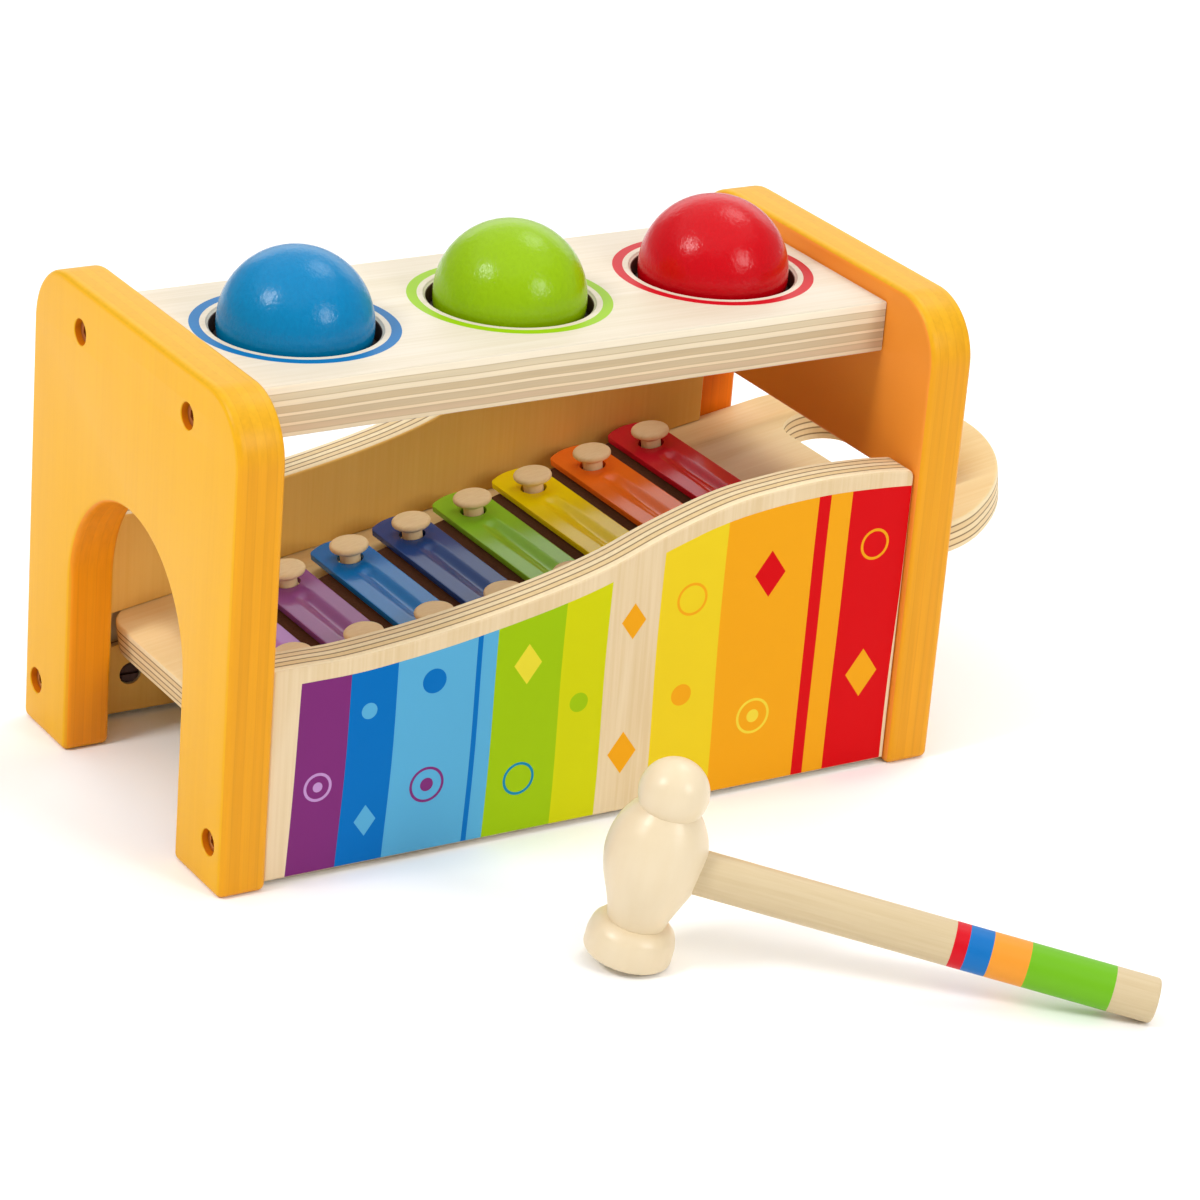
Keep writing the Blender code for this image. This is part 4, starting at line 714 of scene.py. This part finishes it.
def tone_bar(length, channel):
    """A bar on a grid of across and along shares: half width h, ends bowed by bow(across/h)^2 with round corners,
    top at 1 less a channel that is cos^2 across its half width and along its last run; the underside is flat, and
    the rim is eased by a quarter-round."""
    rim = np.array((8.2, 8.45, 8.65, 8.78, KEY_HALF))
    a = np.concatenate((-rim[::-1], np.linspace(-7.9, 7.9, 41), rim))
    b = np.concatenate(((-1.0, -0.9985, -0.996), np.linspace(-0.992, 0.992, 91), (0.996, 0.9985, 1.0)))
    across, along = np.meshgrid(a, b, indexing="ij")
    corner = np.clip(np.abs(across) - (KEY_HALF - KEY_CORNER), 0, KEY_CORNER)
    bow = KEY_BOW * (across / KEY_HALF) ** 2 + KEY_CORNER - np.sqrt(KEY_CORNER**2 - corner**2)
    y = along * (length / 2 - bow)
    flank = np.clip(np.abs(across) - (KEY_HALF - KEY_EASE), 0, KEY_EASE)
    tip = np.clip(np.abs(y) - (length / 2 - bow - KEY_EASE), 0, KEY_EASE)
    ease = KEY_EASE - np.sqrt(KEY_EASE**2 - np.maximum(flank, tip) ** 2)
    wide = np.clip(np.abs(across) / CHANNEL_HALF, 0, 1)
    long_ = np.clip((np.abs(y) - channel / 2 + CHANNEL_RUN) / CHANNEL_RUN, 0, 1)
    dip = CHANNEL_DEEP * np.cos(np.pi / 2 * wide) ** 2 * np.cos(np.pi / 2 * long_) ** 2
    top = np.stack((across, y, 1 - ease - dip), axis=-1)
    under = np.stack((across, y, -1 + 0 * across), axis=-1)
    m, n = across.shape
    i, j = np.meshgrid(np.arange(m - 1), np.arange(n - 1), indexing="ij")
    quads = np.stack((i * n + j, (i + 1) * n + j, (i + 1) * n + j + 1, i * n + j + 1), axis=-1).reshape(-1, 4)
    up, right = np.arange(m - 1), np.arange(n - 1)
    edge = np.concatenate((up * n, (m - 1) * n + right, (m - 1 - up) * n + n - 1, n - 1 - right))
    after = np.roll(edge, -1)
    sides = np.stack((edge, edge + m * n, after + m * n, after), axis=-1)
    faces = quads.tolist() + (quads[:, ::-1] + m * n).tolist() + sides.tolist()
    return np.vstack((top.reshape(-1, 3), under.reshape(-1, 3))), faces, [True] * len(faces)


for number, (name, shade) in enumerate(KEY_COLOURS, 1):
    enamel, tree, shader = new_finish(f"sprayed_{name}_enamel", 0.15, Specular_IOR_Level=0.5, IOR=1.42)
    here = add_node(tree, "TexCoord").outputs["Object"]
    peel = add_node(tree, "TexNoise", {"Vector": here, "Scale": 900.0, "Detail": 2.0}).outputs[0]
    base = linear(shade)
    dapple(tree, shader, peel, (*(0.93 * part for part in base[:3]), 1.0), base, 0.08, 0.2)
    along, across = KEY_SPOTS[number - 1]
    bar = tone_bar(KEY_LENGTHS[number - 1], 2 * (across - CHANNEL_INSET))
    place = on_slide(along, above=KEY_LIFT)
    key = new_piece(f"tone_bar_{number}", bar, enamel, "xylophone", [f"key_{number}"], place)
    holes = drill(((along, -across), (along, across)), PEG_HOLE, PEG_HOLE_FOOT, PEG_HOLE_TOP, on_slide())
    cut_away(key, holes)


# Key pegs: turned beech, bare, with a flat head over a tapered shoulder, pressed through the keys into the
# board. Bare wood is matt and pale; its flecks are drawn 0.7 mm wide and 3 mm long, as fine as they show.
beech, tree, shader = new_finish("turned_bare_beech", 0.55)
here = add_node(tree, "TexCoord").outputs["Object"]
skewed = {"Vector": here, "Rotation": (0.3, 0.2, 0.4), "Scale": (350.0, 1400.0, 350.0)}
local = add_node(tree, "Mapping", skewed).outputs[0]
grain = add_node(tree, "TexNoise", {"Vector": local, "Scale": 1.0, "Detail": 3.0}).outputs[0]
dapple(tree, shader, grain, linear("#E6C48C"), linear("#F7DEB0"), 0.15, 0.2)
peg_line = [
    (0, 13.2), (2.0, 13.18), (4.0, 13.1), (5.2, 12.98), (5.8, 12.8), (6.12, 12.5), (6.25, 12.1), (6.2, 11.6),
    (5.9, 11.2), (5.2, 10.7), (4.5, 10.3), (4.1, 10.05), (3.55, 9.95), (3.25, 9.7), (3.25, -8.0), (0, -8.0),
]
for number, (along, across) in enumerate(KEY_SPOTS, 1):
    for face, sign in (("front", -1), ("back", 1)):
        new_piece(
            f"key_peg_{face}_{number}", lathe(peg_line, 40), beech, "xylophone", [f"peg_{face}_{number}"],
            on_slide(along, sign * across),
        )


# Screws and bolts: socket-head furniture fasteners, sunk in the end panels. The top ones are bronzed, the lower
# ones zinc plated with a yellow chromate film, so both look golden brown down in their holes. Their finish is
# rubbed a little darker in patches of 0.6 mm; real scratches are too fine to show.
metals = []
for name, roughness, metallic, shade in (
    ("bronzed_steel", 0.50, 0.7, "#B4682C"),
    ("yellow_zinc_plated_steel", 0.34, 0.8, "#BC7834"),
):
    base = linear(shade)
    metal, tree, shader = new_finish(name, roughness, Metallic=metallic, Base_Color=base)
    here = add_node(tree, "TexCoord").outputs["Object"]
    scratch = add_node(tree, "TexNoise", {"Vector": here, "Scale": 1800.0, "Detail": 2.0}).outputs[0]
    dapple(tree, shader, scratch, (*(0.72 * part for part in base[:3]), 1.0), base, 0.12, 0.1)
    metals.append(metal)


def socket_head():
    """A head on a grid of turn and station: hexagon socket floor and wall, then circles over the rim and down the
    head's side to the shank. The hexagon's radius at turn t is r cos 30 / cos(t mod 60 - 30)."""
    turn = np.linspace(0, 2 * np.pi, 48, endpoint=False)
    hexagon = np.cos(np.pi / 6) / np.cos(turn % (np.pi / 3) - np.pi / 6)
    stations = np.array((
        (0, 1.6, 0), (1.8, 1.6, 1), (1.8, 2.7, 1), (2.0, 2.8, 0.6), (3.1, 2.8, 0), (3.5, 2.65, 0), (3.7, 2.2, 0),
        (3.7, 0, 0), (2.0, 0, 0), (2.0, -31.0, 0), (0, -31.0, 0),
    ))
    radius, height, sixsided = stations.T[:, :, None]
    reach = radius * (sixsided * hexagon + 1 - sixsided)
    grid = np.stack((reach * np.cos(turn), reach * np.sin(turn), height + 0 * turn), axis=-1)
    _, quads, smooth = lathe(stations[:, :2], len(turn))
    return grid.reshape(-1, 3), quads, smooth


head_play = 0.3
head_bed = PANEL_MIDDLE + SEAT + head_play
for side, sign in (("left", -1), ("right", 1)):
    for face, turned in (("front", -1), ("back", 1)):
        for (kind, reach, height), metal in zip(SCREW_SPOTS, metals):
            origin = BENCH + (sign * head_bed, turned * reach, height)
            place = np.column_stack(((0, 0, -sign), (0, 1, 0), (sign, 0, 0), origin))
            new_piece(f"{kind}_{side}_{face}_head", socket_head(), metal, "bench", [f"{kind}_{side}_{face}"], place)


# Barrel nuts: browned steel cross dowels let into the walls' inner faces; only their slotted ends show. The
# phosphate brown is dull and dark, with an uneven cast in patches of 1.4 mm.
browned, tree, shader = new_finish("phosphated_brown_steel", 0.55, Metallic=0.6)
here = add_node(tree, "TexCoord").outputs["Object"]
cast = add_node(tree, "TexNoise", {"Vector": here, "Scale": 700.0, "Detail": 2.0}).outputs[0]
dapple(tree, shader, cast, linear("#3C2B2E"), linear("#5A4440"))
for side in ("left", "right"):
    for face in ("front", "back"):
        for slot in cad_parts[f"barrel_nut_{side}_{face}"].material_slots:
            slot.link = "OBJECT"
            slot.material = browned


# Mallet: a head turned from one piece of maple, from striking disc through waist and barrel to ball, dipped
# in clear gloss lacquer, and a round beech handle glued into it, with four painted bands near its end. It lies
# on two roundings, the disc's edge and the handle's end, and its handle's axis falls by the angle droop.
HEAD_FOOT, DISC_RADIUS, DISC_EDGE = 31.5, 13.1, 1.5
HANDLE_END, HANDLE_START, HANDLE_RADIUS, HANDLE_REST, HANDLE_EDGE = 149.3, -9.0, 6.7, 6.77, 1.0
KNOB_HEIGHT, KNOB_RADIUS, NECK_RADIUS = 22.3, 10.3, 9.0
WAIST_RADIUS, WAIST, BARREL_RADIUS = 8.7, -20.0, 14.9
spread = HEAD_FOOT - DISC_EDGE - (HANDLE_REST - HANDLE_EDGE)
run = HANDLE_END - HANDLE_EDGE - (DISC_RADIUS - DISC_EDGE)
droop = np.arccos((HANDLE_EDGE - DISC_EDGE) / np.hypot(spread, run)) - np.arctan2(run, spread)
rise = (HEAD_FOOT - DISC_EDGE) * np.cos(droop) + (DISC_RADIUS - DISC_EDGE) * np.sin(droop) + DISC_EDGE
heading = np.radians(-37.1)
reach_axis = np.array((np.cos(heading) * np.cos(droop), np.sin(heading) * np.cos(droop), -np.sin(droop)))
side_axis = np.array((-np.sin(heading), np.cos(heading), 0))
mallet_place = frame_of(reach_axis, side_axis, (-29.8, -149.7, rise))
head_axis, middle = mallet_place[:, 2], mallet_place[:, 3]
crease = -np.degrees(np.arccos(NECK_RADIUS / KNOB_RADIUS))
neck = KNOB_HEIGHT + KNOB_RADIUS * np.sin(np.radians(crease))
barrel_shares = np.array((
    (0.37, 0.932), (0.70, 0.834), (0.92, 0.718), (1.0, 0.597), (0.935, 0.486), (0.726, 0.354), (0.403, 0.216),
    (0.097, 0.077),
))
barrel = barrel_shares * (BARREL_RADIUS - WAIST_RADIUS, neck - WAIST) + (WAIST_RADIUS, WAIST)
head_line = np.vstack((
    arc((0, KNOB_HEIGHT), KNOB_RADIUS, 90, crease, 40),
    smooth_through(barrel, 8),
    ((WAIST_RADIUS, WAIST), (9.6, WAIST - 0.25), (10.6, WAIST - 0.8), (11.2, WAIST - 1.5), (12.1, WAIST - 2.4)),
    ((12.6, WAIST - 3.7), (12.95, WAIST - 5.2), (DISC_RADIUS, WAIST - 6.2)),
    arc((DISC_RADIUS - DISC_EDGE, DISC_EDGE - HEAD_FOOT), DISC_EDGE, 0, -90, 8),
    ((0, -HEAD_FOOT),),
))

# The maple's figure is 4.5 mm wide and 50 mm long under the gloss, and shows faintly.
maple, tree, shader = new_finish("dipped_clear_maple", 0.32, Specular_IOR_Level=0.4)
turned, _ = own_axes(tree, middle, mallet_place[:, :3].T)
local = add_node(tree, "Mapping", {"Vector": turned, "Scale": (220.0, 220.0, 20.0)}).outputs[0]
grain = add_node(tree, "TexNoise", {"Vector": local, "Scale": 1.0, "Detail": 3.0}).outputs[0]
dapple(tree, shader, grain, linear("#DFCBA7"), linear("#E4D3B4"))
new_piece("mallet_turned_head", lathe(head_line, 96), maple, "mallet", ["mallet_head"], mallet_place, sharp=45)

# The handle's streaks are drawn 1.1 mm wide and 33 mm long, coarser than beech's own, which are too fine to show.
handle_line = np.vstack((
    ((0, HANDLE_END),),
    arc((HANDLE_RADIUS - HANDLE_EDGE, HANDLE_END - HANDLE_EDGE), HANDLE_EDGE, 90, 0, 6),
    ((HANDLE_RADIUS, HANDLE_START), (0, HANDLE_START)),
))
banded, tree, shader = new_finish("sanded_beech_with_bands", 0.42, Specular_IOR_Level=0.2)
turned, (from_head, _, _) = own_axes(tree, middle, mallet_place[:, :3].T)
local = add_node(tree, "Mapping", {"Vector": turned, "Scale": (30.0, 900.0, 900.0)}).outputs[0]
grain = add_node(tree, "TexNoise", {"Vector": local, "Scale": 1.0, "Detail": 3.0, "Roughness": 0.6}).outputs[0]
wood = dapple(tree, shader, grain, linear("#C2AB83"), linear("#D5C29E"), 0.10, 0.2)
ramp_span = 150.0
share = add_node(tree, "Math", {0: from_head, 1: 1000 / ramp_span}, operation="MULTIPLY").outputs[0]
ramp = add_node(tree, "ValToRGB", {"Fac": share})
ramp.color_ramp.interpolation = "CONSTANT"
ramp.color_ramp.elements[0].color = (0, 0, 0, 0)
ramp.color_ramp.elements.remove(ramp.color_ramp.elements[1])
for at, shade in ((88.2, "#CC0018"), (92.5, "#086CB4"), (99.6, "#E6942E"), (110.6, "#6CB016"), (135.8, None)):
    ramp.color_ramp.elements.new(at / ramp_span).color = linear(shade) if shade else (0, 0, 0, 0)
colour = {"Factor": ramp.outputs["Alpha"], 6: wood, 7: ramp.outputs["Color"]}
colour = add_node(tree, "Mix", colour, data_type="RGBA").outputs[2]
tree.links.new(colour, shader.inputs["Base Color"])
handle_place = np.column_stack((-head_axis, side_axis, reach_axis, middle))
new_piece("mallet_banded_handle", lathe(handle_line, 64), banded, "mallet", ["mallet_handle"], handle_place)
